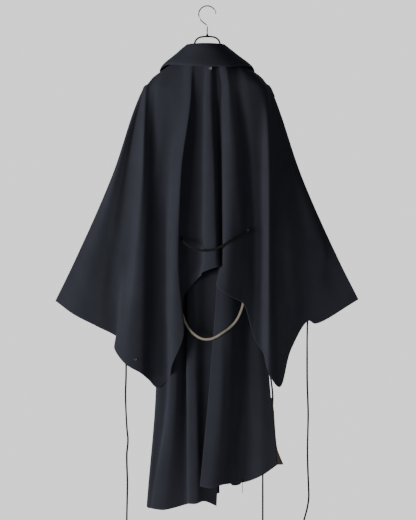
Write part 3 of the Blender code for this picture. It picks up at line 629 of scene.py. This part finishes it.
def seamless_paper(name, base):
    """Matt studio paper, very slightly mottled."""
    paper, tree, shader = finish_of(name, base, 0.9, Specular_IOR_Level=0.2)
    cloud = noise(tree, (-3, 0), add(tree, "TexCoord", (-5, 0)).outputs["Object"], 0.7, 2)
    darker = tuple(0.94 * c for c in base)
    tree.links.new(blend_of(tree, (-1, 0), cloud, darker, base), shader.inputs["Base Color"])
    return paper


def material_named(name, make, *settings):
    """The material if it was made before, and otherwise a new one."""
    return bpy.data.materials.get(name) or make(name, *settings)


# ---------------------------------------------------------------- curves and grids

def hermite(t, start, end, leave, arrive):
    """Cubic from start to end for t from 0 to 1, with the tangents leave and arrive."""
    return (
        (2 * t**3 - 3 * t**2 + 1) * start + (t**3 - 2 * t**2 + t) * leave
        + (3 * t**2 - 2 * t**3) * end + (t**3 - t**2) * arrive
    )


def across(rows, per_span):
    """Spline through each row of points (rows, points, 3).

    Each span is a cubic Hermite curve.  Its tangents are the neighbouring slopes, weighted by the square root
    of each span's length, so that close points make a tight turn and no loop.
    """
    span = np.diff(rows, axis=1)
    step = np.sqrt(np.linalg.norm(span, axis=2, keepdims=True)) + 1e-6
    slope = span / step
    inner = (slope[:, :-1] * step[:, 1:] + slope[:, 1:] * step[:, :-1]) / (step[:, 1:] + step[:, :-1])
    tangent = np.concatenate([slope[:, :1], inner, slope[:, -1:]], axis=1)
    t = (np.arange(per_span) / per_span)[None, None, :, None]
    start, end = rows[:, :-1, None], rows[:, 1:, None]
    leave, arrive = tangent[:, :-1, None] * step[:, :, None], tangent[:, 1:, None] * step[:, :, None]
    curve = hermite(t, start, end, leave, arrive)
    return np.concatenate([curve.reshape(len(rows), -1, 3), rows[:, -1:]], axis=1)


def monotone(at, value, wanted):
    """Cubic through (at, value) for each line, with harmonic-mean slopes, so it never overshoots."""
    width = np.diff(at, axis=1)
    rise = np.diff(value, axis=1) / width
    before, after = rise[:, :-1], rise[:, 1:]
    same_way = before * after > 0
    mean = 2 * before * after / np.where(same_way, before + after, 1.0)
    slope = np.concatenate([rise[:, :1], np.where(same_way, mean, 0.0), rise[:, -1:]], axis=1)
    out = np.zeros_like(wanted)
    for k in range(width.shape[1]):
        t = (wanted - at[:, k]) / width[:, k]
        here = (t >= 0) if k else np.ones_like(t, bool)
        t = np.clip(t, 0, 1)
        leave, arrive = slope[:, k] * width[:, k], slope[:, k + 1] * width[:, k]
        curve = hermite(t, value[:, k], value[:, k + 1], leave, arrive)
        out = np.where(here, curve, out)
    return out


def seam_points(x, over, middle_z):
    """Where lines start: on the neck's ellipse, or outside it along the shoulder.  Returns out and z."""
    wide, deep = NECK_WIDTH + over, NECK_DEPTH + over
    oval = np.sqrt(np.clip(1 - (x / wide) ** 2, 0, None))
    shoulder = np.clip(np.abs(x) - wide, 0, None)
    tip = np.clip((np.abs(x) - SHOULDER_TIP) / SHOULDER_ROUND, 0, 1)
    out = SEAM + (deep - SEAM) * oval + (SIDE_OUT - SEAM) * tip
    side_z = NECK_SIDE_Z + over
    return out, side_z + (middle_z + over - side_z) * oval - SHOULDER_SLOPE * shoulder - SHOULDER_FALL * tip**4


def draped(folds, levels, over, middle_z, side, rows, per_span):
    """The outer face of a panel, (rows, columns, 3) in millimetres.

    Along a fold line, x follows the drop z0 - z, and the way out follows the drop's square root, which rolls the
    cloth over the shoulder.  For q from 0 to 1 a row's share of the drop is (s q^2 + (1 - s) q)(1 - exp(-n q)),
    with ROW_SPREAD for s and SEAM_ROWS for n.  Across the lines each row is a spline.  side is -1 for the back,
    1 for the front.
    """
    table = np.array([fold[1:] for fold in folds], float)
    seam_out, seam_z = seam_points(table[:, 0], over, middle_z)
    knots_z = np.column_stack([seam_z, np.tile(levels, (len(table), 1)), table[:, 5]])
    drops = seam_z[:, None] - knots_z
    q = np.linspace(0, 1, rows)
    share = (ROW_SPREAD * q**2 + (1 - ROW_SPREAD) * q)[:, None] * (1 - np.exp(-SEAM_ROWS * q))[:, None]
    share /= share[-1]
    drop = drops[:, -1] * share
    x = monotone(drops, table[:, :5], drop)
    out = monotone(np.sqrt(drops), np.column_stack([seam_out, table[:, 6:]]), np.sqrt(drop))
    lines = np.stack([x, out, seam_z - drop], axis=2)
    grid = across(lines, per_span)
    grid[:, :, 1] = side * np.maximum(grid[:, :, 1], SEAM)
    return grid


def facings(grid):
    """Unit normals: the cross product of the grid's central differences along both directions."""
    facing = np.cross(np.gradient(grid, axis=1), np.gradient(grid, axis=0))
    return facing / (np.linalg.norm(facing, axis=2, keepdims=True) + 1e-12)


def along(grid, axis):
    """Distance along the grid from its first row or column to each point."""
    steps = np.linalg.norm(np.diff(grid, axis=axis), axis=2)
    start = np.zeros_like(np.take(steps, [0], axis))
    return np.concatenate([start, np.cumsum(steps, axis=axis)], axis=axis)


def from_sides(grid):
    """Distance of each point of the grid from the nearer of its two sides."""
    return np.minimum(along(grid, 1), along(grid[:, ::-1], 1)[:, ::-1])


def creased(grid, side, creases, strength):
    """Moves the points of a grid along their normals.

    Each crease adds height * exp(-(d / width)^2) * sin(pi s)^0.7, where s is the share of the way along the
    crease and d the distance from its bowed line.  A slow ripple of five sines keeps plain stretches alive.
    """
    x, z = grid[:, :, 0], grid[:, :, 2]
    rise = np.zeros_like(x)
    for c in creases:
        way = np.array([c.end_x - c.x, c.end_z - c.z])
        size = np.hypot(*way)
        s = ((x - c.x) * way[0] + (z - c.z) * way[1]) / size**2
        d = ((x - c.x) * way[1] - (z - c.z) * way[0]) / size - c.bow * 4 * s * (1 - s)
        fade = np.sin(np.pi * np.clip(s, 0, 1)) ** 0.7
        rise += c.height * np.exp(-((d / c.width) ** 2)) * fade
    drop = np.clip((grid[0, :, 2] - z) / RIPPLE_DROP, 0, 1)
    ripple = sum(r.height * np.sin(x / r.across + z / r.along + r.start) for r in RIPPLES)
    rise += RIPPLE_SHARE * ripple * drop
    rise *= strength * np.clip(from_sides(grid) / CREASE_TAPER, 0, 1)
    return grid + side * facings(grid) * rise[:, :, None]


def tightened(grid, inset):
    """The grid with an extra row or column just inside each border, so that its edge rounds over crisply."""
    for axis in (0, 1):
        first, second = np.take(grid, [0], axis), np.take(grid, [1], axis)
        last, before = np.take(grid, [-1], axis), np.take(grid, [-2], axis)
        near_first = first + (second - first) * inset / np.linalg.norm(second - first, axis=2, keepdims=True)
        near_last = last + (before - last) * inset / np.linalg.norm(before - last, axis=2, keepdims=True)
        middle = np.take(grid, range(1, grid.shape[axis] - 1), axis)
        grid = np.concatenate([first, near_first, middle, near_last, last], axis=axis)
    return grid


def border(rows, columns):
    """Numbers of the points round a grid's border, in order."""
    number = np.arange(rows * columns).reshape(rows, columns)
    return np.concatenate([number[0, :-1], number[:-1, -1], number[-1, :0:-1], number[:0:-1, 0]])


def tube_faces(count, sides, closed=False):
    """Quads between each ring of points and the next, and from the last ring to the first if closed."""
    number = np.arange(count * sides).reshape(count, sides)
    after = np.roll(number, -1, axis=1)
    quads = np.stack([number, after, np.roll(after, -1, axis=0), np.roll(number, -1, axis=0)], axis=2)
    return (quads if closed else quads[:-1]).reshape(-1, 4).tolist()


def place_mesh(name, points, faces, materials, node, face_material=None, uv=None, values=()):
    """A smooth mesh object with its UV map, point attributes and materials, riding on the coat."""
    mesh = bpy.data.meshes.new(name)
    mesh.from_pydata(points.tolist(), [], faces)
    for material in materials:
        mesh.materials.append(material)
    if face_material is not None:
        mesh.polygons.foreach_set("material_index", face_material)
    if uv is not None:
        corner = np.zeros(len(mesh.loops), np.int32)
        mesh.loops.foreach_get("vertex_index", corner)
        layer = mesh.uv_layers.new(name="cloth")
        layer.data.foreach_set("uv", uv[corner].astype(np.float32).ravel())
    for attribute, value in values:
        layer = mesh.attributes.new(attribute, "FLOAT", "POINT")
        layer.data.foreach_set("value", value.astype(np.float32).ravel())
    mesh.shade_smooth()
    mesh.validate()
    piece = bpy.data.objects.new(name, mesh)
    bpy.context.scene.collection.objects.link(piece)
    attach(piece, "root")
    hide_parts(node)
    return piece


def cloth_wall(name, outer, side, materials, node, hem_band, hem_extra, wall, sewn=True):
    """A closed wall of cloth from its outer face.

    The inner face is the outer one moved in by the wall's thickness, which grows by hem_extra inside the
    turned-up hem.  A middle ring that bulges out a little rounds the raw border.  The points carry their
    distance from the hem and from the nearest edge, and sewn is for a hem whose stitches show.
    """
    outer = tightened(outer, EDGE_ROW)
    rows, columns = outer.shape[:2]
    facing = side * facings(outer)
    u, v = along(outer, 1), along(outer, 0)
    u = u - u[:, columns // 2][:, None]
    hem = v[-1] - v
    sides = from_sides(outer)
    edge = np.minimum(hem, sides)
    extra = hem_extra * np.clip((hem_band - hem) / HEM_STEP + 0.5, 0, 1) * np.clip(sides / HEM_TAPER, 0, 1)
    inner = outer - facing * (wall + extra)[:, :, None]

    ring = border(rows, columns)
    flat_outer, flat_inner = outer.reshape(-1, 3), inner.reshape(-1, 3)
    inside = np.pad(outer[1:-1, 1:-1], ((1, 1), (1, 1), (0, 0)), mode="edge").reshape(-1, 3)
    away = flat_outer - inside
    away /= np.linalg.norm(away, axis=1, keepdims=True) + 1e-9
    middle = (flat_outer[ring] + flat_inner[ring]) / 2 + away[ring] * wall * EDGE_BULGE
    points = np.concatenate([flat_outer, flat_inner, middle]) * MM

    number = np.arange(rows * columns).reshape(rows, columns)
    quad = np.stack([number[:-1, :-1], number[1:, :-1], number[1:, 1:], number[:-1, 1:]], axis=2).reshape(-1, 4)
    if side > 0:
        quad = quad[:, ::-1]
    start = 2 * rows * columns
    a, b = ring, np.roll(ring, -1)
    m, n = start + np.arange(len(ring)), start + np.roll(np.arange(len(ring)), -1)
    rim_out = np.stack([a, b, n, m], axis=1)
    rim_in = np.stack([m, n, b + rows * columns, a + rows * columns], axis=1)
    if side < 0:
        rim_out, rim_in = rim_out[:, ::-1], rim_in[:, ::-1]
    faces = np.concatenate([quad, quad[:, ::-1] + rows * columns, rim_out[:, ::-1], rim_in[:, ::-1]])
    lined = (hem[:-1, :-1] > LINED_FROM * hem_band).ravel()
    face_material = np.concatenate(
        [np.zeros(len(quad)), np.where(lined, len(materials) - 1, 0), np.zeros(2 * len(ring))]
    ).astype(np.int32)
    uv = np.stack([u, -v], axis=2).reshape(-1, 2) * MM
    uv = np.concatenate([uv, uv, uv[ring]])
    values = [
        (label, np.concatenate([value.ravel(), value.ravel(), value.ravel()[ring]]) * MM)
        for label, value in (("hem", hem if sewn else hem - NO_STITCHES), ("edge", edge))
    ]
    return place_mesh(name, points, faces.tolist(), materials, node, face_material, uv, values)


def slow_twist(gone, wave, start):
    """How far a hanging tie has turned, in radians: two sines of the millimetres gone along it."""
    return LONG_TWIST * np.sin(gone / wave + start) + SHORT_TWIST * np.sin(gone / SHORT_WAVE)


def swept(name, path, width, thick, material, node, wave=None, steps=8, sides=20):
    """A flat tape, or a round cord, carried along a smooth curve through the path's points.

    Its section is a superellipse |x/a|^p + |y/b|^p = 1 with a and b half its width and thickness.  Its flat
    faces the back, and turns by slow_twist where wave gives that function's two numbers.  Returns the piece,
    its centreline and its length in metres.
    """
    line = across(np.array(path, float)[None], steps)[0]
    tangent = np.gradient(line, axis=0)
    tangent /= np.linalg.norm(tangent, axis=1, keepdims=True)
    back = np.array([0, -1.0, 0])
    front = back - tangent * (tangent @ back)[:, None]
    front /= np.linalg.norm(front, axis=1, keepdims=True)
    beside = np.cross(tangent, front)
    gone = np.concatenate([[0], np.cumsum(np.linalg.norm(np.diff(line, axis=0), axis=1))])
    turn = slow_twist(gone, *wave) if wave else np.zeros_like(gone)
    wide = np.cos(turn)[:, None] * beside + np.sin(turn)[:, None] * front
    high = -np.sin(turn)[:, None] * beside + np.cos(turn)[:, None] * front
    around = np.arange(sides) / sides * 2 * np.pi
    power = 2 / 4 if width > 1.5 * thick else 1.0
    ca, sa = np.cos(around), np.sin(around)
    a = width / 2 * np.sign(ca) * np.abs(ca) ** power
    b = thick / 2 * np.sign(sa) * np.abs(sa) ** power
    tube = line[:, None] + wide[:, None] * a[None, :, None] + high[:, None] * b[None, :, None]
    tips = [line[:1] - tangent[:1] * END_BULGE, line[-1:] + tangent[-1:] * END_BULGE]
    points = np.concatenate([tube.reshape(-1, 3), *tips]) * MM
    last, tip = (len(line) - 1) * sides, len(line) * sides
    faces = tube_faces(len(line), sides)
    faces += [(tip, (k + 1) % sides, k) for k in range(sides)]
    faces += [(tip + 1, last + k, last + (k + 1) % sides) for k in range(sides)]
    uv = np.stack(np.broadcast_arrays(a[None, :], gone[:, None]), axis=2).reshape(-1, 2) * MM
    uv = np.concatenate([uv, [[0, 0], [0, gone[-1] * MM]]])
    piece = place_mesh(name, points, faces, [material], node, uv=uv)
    face_outwards(piece)
    return piece, line * MM, float(gone[-1] * MM)


def face_outwards(piece):
    """Turns every face of a closed piece to the outside."""
    work = bmesh.new()
    work.from_mesh(piece.data)
    bmesh.ops.recalc_face_normals(work, faces=work.faces)
    work.to_mesh(piece.data)
    work.free()


def turned(name, profile, centre, facing, material, node, holes=(), segments=48, closed=False):
    """A turned shape: the profile's (radius, height) goes round the axis through centre along facing.

    A closed profile makes a ring, and any other is capped at both ends.  Each hole (x, y, radius, depth) is
    pressed in as depth / (1 + (d / radius)^6).
    """
    profile = np.array(profile, float)
    angle = np.arange(segments) / segments * 2 * np.pi
    radius, height = profile[:, :1], np.repeat(profile[:, 1:2], segments, axis=1)
    x, y = radius * np.cos(angle), radius * np.sin(angle)
    top = height > 0
    for hole_x, hole_y, hole_radius, depth in holes:
        d = np.hypot(x - hole_x, y - hole_y)
        height = height - top * depth / (1 + (d / hole_radius) ** 6)
    axis = np.array(facing, float) / np.linalg.norm(facing)
    first = np.cross(axis, (0, 0, 1.0) if abs(axis[2]) < 0.9 else (1.0, 0, 0))
    first /= np.linalg.norm(first)
    second = np.cross(axis, first)
    grid = x[..., None] * first + y[..., None] * second + height[..., None] * axis + np.array(centre, float)
    faces = tube_faces(len(profile), segments, closed)
    if not closed:
        last = (len(profile) - 1) * segments
        faces += [list(range(segments)), list(range(last, last + segments))[::-1]]
    piece = place_mesh(name, grid.reshape(-1, 3) * MM, faces, [material], node)
    face_outwards(piece)


def seat_on(panel, side, x, z):
    """The panel's outer point nearest to x, z, and the way the panel faces there, in millimetres."""
    facing = side * facings(panel)
    near = np.abs(panel[:, :, 0] - x) + np.abs(panel[:, :, 2] - z)
    row, column = np.unravel_index(near.argmin(), near.shape)
    return panel[row, column], facing[row, column]


panels = {}              # outer faces of the panels that small pieces sit on


# ---------------------------------------------------------------- pieces

class COAT_OT_stage(bpy.types.Operator):
    """Pale round floor and pale surroundings, soft lamps, an even fill, and the camera"""

    bl_idname = "coat.stage"
    bl_label = "Stage"

    def execute(self, context):
        stage = context.scene.coat_stage
        # The floor is a flat disc that ends below the photograph's lower edge, so that no view is blocked.
        work = bmesh.new()
        bmesh.ops.create_circle(work, cap_ends=True, segments=128, radius=FLOOR_RADIUS * MM)
        mesh = bpy.data.meshes.new("floor")
        work.to_mesh(mesh)
        work.free()
        mesh.materials.append(material_named("seamless paper", seamless_paper, stage.paper))
        floor = bpy.data.objects.new("floor", mesh)
        floor.location.z = -stage.floor
        context.scene.collection.objects.link(floor)

        target = Vector(VIEW_CENTRE) * MM
        view = bpy.data.cameras.new("camera")
        view.sensor_fit = "VERTICAL"
        view.sensor_height = SENSOR
        view.lens = SENSOR * stage.distance / (PICTURE_HEIGHT * PIXEL * MM)
        camera = bpy.data.objects.new("camera", view)
        camera.location = target + Vector((0, -stage.distance, 0))
        camera.rotation_euler = (math.pi / 2, 0, 0)
        context.scene.collection.objects.link(camera)
        context.scene.camera = camera

        for kind in LAMPS:
            light = bpy.data.lights.new(kind.name, "AREA")
            light.size, light.energy, light.color = kind.size * MM, stage.key * kind.share, kind.tint
            lamp = bpy.data.objects.new(kind.name, light)
            context.scene.collection.objects.link(lamp)
            lamp.location = Vector((kind.x, kind.y, kind.z)) * MM
            lamp.rotation_euler = (target - lamp.location).to_track_quat("-Z", "Y").to_euler()
            lamp.visible_camera = False

        # The even fill lights the coat, and only the camera sees the pale surroundings.
        world = bpy.data.worlds.new("studio")
        context.scene.world = world
        world.use_nodes = True
        tree = world.node_tree
        fill = tree.nodes["Background"]
        fill.inputs["Color"].default_value = FILL_TINT
        fill.inputs["Strength"].default_value = stage.fill
        pale = add(tree, "Background", (0, -2), [("Color", SURROUND_TINT), ("Strength", stage.surround)])
        path = add(tree, "LightPath", (-2, 2))
        mix = add(tree, "MixShader", (2, 0), [
            (0, path.outputs["Is Camera Ray"]), (1, fill.outputs[0]), (2, pale.outputs[0]),
        ])
        tree.links.new(mix.outputs[0], tree.nodes["World Output"].inputs["Surface"])
        return {"FINISHED"}


class COAT_OT_cords(bpy.types.Operator):
    """The black tape at the waist, the pale one below it, three ties and a loose end of thread"""

    bl_idname = "coat.cords"
    bl_label = "Tapes and Cords"

    def execute(self, context):
        trim = context.scene.coat_trim
        black = material_named("black cotton cord", woven_cotton, trim.cord, 1.6, 0.75)
        pale = material_named("undyed cotton tape", woven_cotton, trim.tape, 1.2, 0.85)
        tape = trim.tape_width / MM, trim.tape_thick / MM, "medium", "object"
        tie = trim.tie_width / MM, trim.tie_thick / MM, "limp", "bare"
        thread = THREAD, THREAD, "limp", "bare"
        kinds = (
            ("waist_tape", WAIST_TAPE, tape, "wool", black, "waist_strap", None),
            ("seat_tape", SEAT_TAPE, tape, "cotton_tape", pale, "seat_strap", None),
            ("tie_left", LEFT_TIE, tie, "cotton_cord", black, "cord_left", (70, 2.1)),
            ("tie_right", RIGHT_TIE, tie, "cotton_cord", black, "cord_right", (86, 0.5)),
            ("tie_inner", INNER_TIE, tie, "cotton_cord", black, "cord_inner", (95, 1.3)),
            ("thread_tail", TAIL, thread, "cotton_cord", black, "cord_tail", None),
        )
        for name, path, (width, thick, stiffness, end), slot, material, node, wave in kinds:
            piece, line, size = swept(name, path, width, thick, material, node, wave)
        return {"FINISHED"}


class COAT_OT_hanger(bpy.types.Operator):
    """The bent hook, its ferrule and the enamelled rod"""

    bl_idname = "coat.hanger"
    bl_label = "Hanger"

    def execute(self, context):
        trim = context.scene.coat_trim
        steel = material_named("nickel plated steel", plated_steel, trim.nickel)
        dull = material_named("dull nickel plate", plated_steel, trim.dull_nickel)
        enamel = material_named("stove enamel", stove_enamel, trim.enamel)
        # The hook is an arc whose inside top is the origin, then a tail down to the ferrule.
        middle_z = HOOK_WIRE / 2 - HOOK_RADIUS
        turn = np.radians(np.linspace(HOOK_START, HOOK_END, 20))
        arc = np.stack([HOOK_RADIUS * np.cos(turn), 0 * turn, middle_z + HOOK_RADIUS * np.sin(turn)], axis=1)
        tail = np.array([(x, 0, z) for x, z in HOOK_TAIL] + [(0, 0, STEM_END_Z)], float)
        swept("hook", np.concatenate([arc, tail]), HOOK_WIRE, HOOK_WIRE, steel, "hanger_hook", steps=5)
        half = FRAME_ARCH + FRAME_ARM
        both = [(-x, 0, z) for x, z in half[:0:-1]] + [(x, 0, z) for x, z in half]
        swept("rod", both, ROD, ROD, enamel, "hanger_frame", steps=6)
        # The ferrule is a turned collar with a bead at each end.
        r, h = FERRULE_RADIUS, FERRULE_HEIGHT / 2
        lower = [(FERRULE_BORE, -h)] + [(r - inset, lift - h) for inset, lift in FERRULE_BEAD]
        profile = lower + [(radius, -height) for radius, height in lower[::-1]]
        turned("ferrule", profile, (0, 0, STEM_END_Z - TOUCH - h), (0, 0, 1), dull, "hanger_ferrule")
        return {"FINISHED"}


def hang_panels(cloth, kinds, levels, over, per_span, lining):
    """Drapes each panel from its fold table, lays its creases on it and makes its wall of cloth."""
    wool = material_named("wool gabardine", wool_gabardine, cloth)
    for kind in kinds:
        grid = draped(kind.folds, levels, over, kind.middle_z, kind.side, kind.rows, per_span)
        grid = creased(grid, kind.side, kind.creases, cloth.crease)
        panels[kind.node] = grid
        piece = cloth_wall(
            kind.name, grid, kind.side, [wool, *lining], kind.node,
            cloth.hem_band / MM, cloth.hem_extra / MM, cloth.wall / MM,
        )


class COAT_OT_body(bpy.types.Operator):
    """The sleeveless coat under the cape: two backs that lap in a long vent, and two fronts"""

    bl_idname = "coat.body"
    bl_label = "Coat"

    def execute(self, context):
        cloth = context.scene.coat_cloth
        satin = material_named("satin lining", satin_lining, cloth)
        hang_panels(cloth, COAT_PANELS, COAT_LEVELS, 0, COAT_SPAN, [satin])
        return {"FINISHED"}


class COAT_OT_cape(bpy.types.Operator):
    """The cape: one back and two fronts that meet along the shoulders and the wings' edges"""

    bl_idname = "coat.cape"
    bl_label = "Cape"

    def execute(self, context):
        hang_panels(context.scene.coat_cloth, CAPE_PANELS, CAPE_LEVELS, CAPE_OVER, CAPE_SPAN, [])
        return {"FINISHED"}


def collar_grid(per_span):
    """The collar's surface: sections from the stand's foot, over the turned edge, to the fall's edge."""
    table = np.array(COLLAR, float)
    turn = np.radians(table[:, 0])
    oval = np.sqrt(1 - (STAND_WIDTH * np.sin(turn) / NECK_WIDTH) ** 2)
    middle_z = np.where(np.cos(turn) > 0, NECK_BACK_Z, NECK_FRONT_Z)
    base_z = NECK_SIDE_Z + (middle_z - NECK_SIDE_Z) * oval - STAND_TUCK
    base = np.column_stack([STAND_WIDTH * np.sin(turn), -STAND_DEPTH * np.cos(turn), base_z])
    front = np.clip(-np.cos(turn), 0, 1) * FRONT_FULLER
    fold_x, fold_y = FOLD_SHIFT + FOLD_WIDTH * np.sin(turn), front - FOLD_DEPTH * np.cos(turn)
    fold = np.column_stack([fold_x, fold_y, table[:, 4]])
    edge = table[:, 1:4]
    out = edge - fold
    out[:, 2] = 0
    out /= np.linalg.norm(out, axis=1, keepdims=True)
    down = np.array([0, 0, -FOLD_ROUND])
    inside = fold - FOLD_ROUND * out + down
    outside = fold + 1.5 * FOLD_ROUND * out + down
    brow = edge + BROW_IN * (outside - edge)
    brow[:, 2] = edge[:, 2] + BROW_UP
    hip = 0.5 * (outside + brow)
    hip[:, 2] += front
    section = np.stack([base, 0.5 * (base + inside), inside, fold, outside, hip, brow, edge], axis=0)
    rings = across(section, per_span)
    return across(rings.transpose(1, 0, 2), per_span).transpose(1, 0, 2)


class COAT_OT_collar(bpy.types.Operator):
    """Stand and fall of the collar in one turned piece"""

    bl_idname = "coat.collar"
    bl_label = "Collar"

    def execute(self, context):
        cloth = context.scene.coat_cloth
        wool = material_named("wool gabardine", wool_gabardine, cloth)
        piece = cloth_wall(
            "collar_turned", collar_grid(COLLAR_SPAN), 1, [wool], "collar",
            COLLAR_HEM, COLLAR_HEM_EXTRA, cloth.wall / MM, sewn=False,
        )
        return {"FINISHED"}


class COAT_OT_lining(bpy.types.Operator):
    """The strip of brown satin that shows past the coat's right side"""

    bl_idname = "coat.lining"
    bl_label = "Lining"

    def execute(self, context):
        satin = material_named("satin lining", satin_lining, context.scene.coat_cloth)
        # The strip starts at the side seam.  It flares with the square of the way across, and waves a little.
        strip = across(np.array(LINING_EDGE, float)[None], 6)[0]
        edge = panels["coat_back_right"][:, -1]
        start = np.interp(-strip[:, 0], -edge[:, 2], edge[:, 0])
        share = np.linspace(0, 1, 12)
        x = start[:, None] + strip[:, 1:2] * share
        ripple = LINING_RIPPLE * np.sin(strip[:, :1] / LINING_WAVE)
        out = strip[:, 2:3] * share**2 + LINING_OUT + TOUCH + ripple * share
        z = np.repeat(strip[:, 0:1], len(share), axis=1)
        grid = np.stack([x, out, z], axis=2)
        piece = cloth_wall(
            "lining_strip", grid, 1, [satin], "lining_right",
            hem_band=1, hem_extra=0, wall=LINING_WALL, sewn=False,
        )
        return {"FINISHED"}


class COAT_OT_fastenings(bpy.types.Operator):
    """The buttons, and the two small eyelets"""

    bl_idname = "coat.fastenings"
    bl_label = "Buttons and Eyelets"

    def execute(self, context):
        trim = context.scene.coat_trim
        pale = material_named("pale horn", polished_horn, trim.pale_horn)
        dark = material_named("dark horn", polished_horn, trim.dark_horn)
        steel = material_named("nickel plated steel", plated_steel, trim.nickel)
        seat = seat_on(panels["cape_back"], -1, *BACK_BUTTON_AT)
        self.button("button_small", "button_back", seat, BACK_BUTTON, BACK_BUTTON_THICK, "pale_horn", pale, 2)
        for number, z in enumerate(BUTTON_HEIGHTS, 1):
            seat = seat_on(panels["coat_front_left"], 1, 2, z)
            name, node = f"button_large_{number}", f"button_front_{number}"
            self.button(name, node, seat, BUTTON, BUTTON_THICK, "dark_horn", dark, 4)
        # An eyelet is a ring of round wire.
        angle = np.arange(12) / 12 * 2 * np.pi
        profile = np.stack([EYELET_RADIUS + EYELET_WIRE * np.cos(angle), EYELET_WIRE * np.sin(angle)], axis=1)
        eyelets = (
            ("eyelet_upper", "eyelet_waist", WAIST_EYELET_AT), ("eyelet_lower", "eyelet_hem", HEM_EYELET_AT),
        )
        for name, node, (x, z) in eyelets:
            place, facing = seat_on(panels["cape_back"], -1, x, z)
            centre = place + facing * (EYELET_WIRE + TOUCH)
            turned(name, profile, centre, facing, steel, node, segments=36, closed=True)
        return {"FINISHED"}

    def button(self, name, node, seat, width, thick, slot, material, holes):
        """A turned button: a rounded rim, a shallow dish, and two or four sewing holes."""
        place, facing = seat
        r, h = width / 2, thick / 2
        profile = [(radius * r, height * h) for radius, height in BUTTON_PROFILE]
        out = BUTTON_HOLES_OUT * r
        spots = [
            (out * math.cos(a), out * math.sin(a), BUTTON_HOLE * r, BUTTON_HOLE_DEPTH * h)
            for a in np.arange(holes) * 2 * np.pi / holes + np.pi / 4
        ]
        turned(name, profile, place + facing * (h + TOUCH), facing, material, node, spots)


class COAT_PT_panel(bpy.types.Panel):
    """Lists the coat's pieces and settings"""

    bl_idname = "COAT_PT_panel"
    bl_label = "Inverness Coat"
    bl_space_type = "VIEW_3D"
    bl_region_type = "UI"
    bl_category = "Coat"

    def draw(self, context):
        layout = self.layout
        for settings in (context.scene.coat_cloth, context.scene.coat_trim, context.scene.coat_stage):
            box = layout.box()
            for name in settings.bl_rna.properties.keys():
                if name not in ("rna_type", "name"):
                    box.prop(settings, name)
        for step in STEPS:
            layout.operator(step.bl_idname)


STEPS = (
    COAT_OT_stage, COAT_OT_cords, COAT_OT_hanger, COAT_OT_body, COAT_OT_cape, COAT_OT_collar, COAT_OT_lining,
    COAT_OT_fastenings,
)
CLASSES = (ClothSettings, TrimSettings, StageSettings, *STEPS, COAT_PT_panel)


def register():
    for each in CLASSES:
        bpy.utils.register_class(each)
    bpy.types.Scene.coat_cloth = PointerProperty(type=ClothSettings)
    bpy.types.Scene.coat_trim = PointerProperty(type=TrimSettings)
    bpy.types.Scene.coat_stage = PointerProperty(type=StageSettings)


def unregister():
    del bpy.types.Scene.coat_stage
    del bpy.types.Scene.coat_trim
    del bpy.types.Scene.coat_cloth
    for each in reversed(CLASSES):
        bpy.utils.unregister_class(each)


def main():
    register()
    bpy.ops.coat.stage()
    bpy.ops.coat.cords()
    bpy.ops.coat.hanger()
    bpy.ops.coat.body()
    bpy.ops.coat.cape()
    bpy.ops.coat.collar()
    bpy.ops.coat.lining()
    bpy.ops.coat.fastenings()


if __name__ == "__main__":
    main()
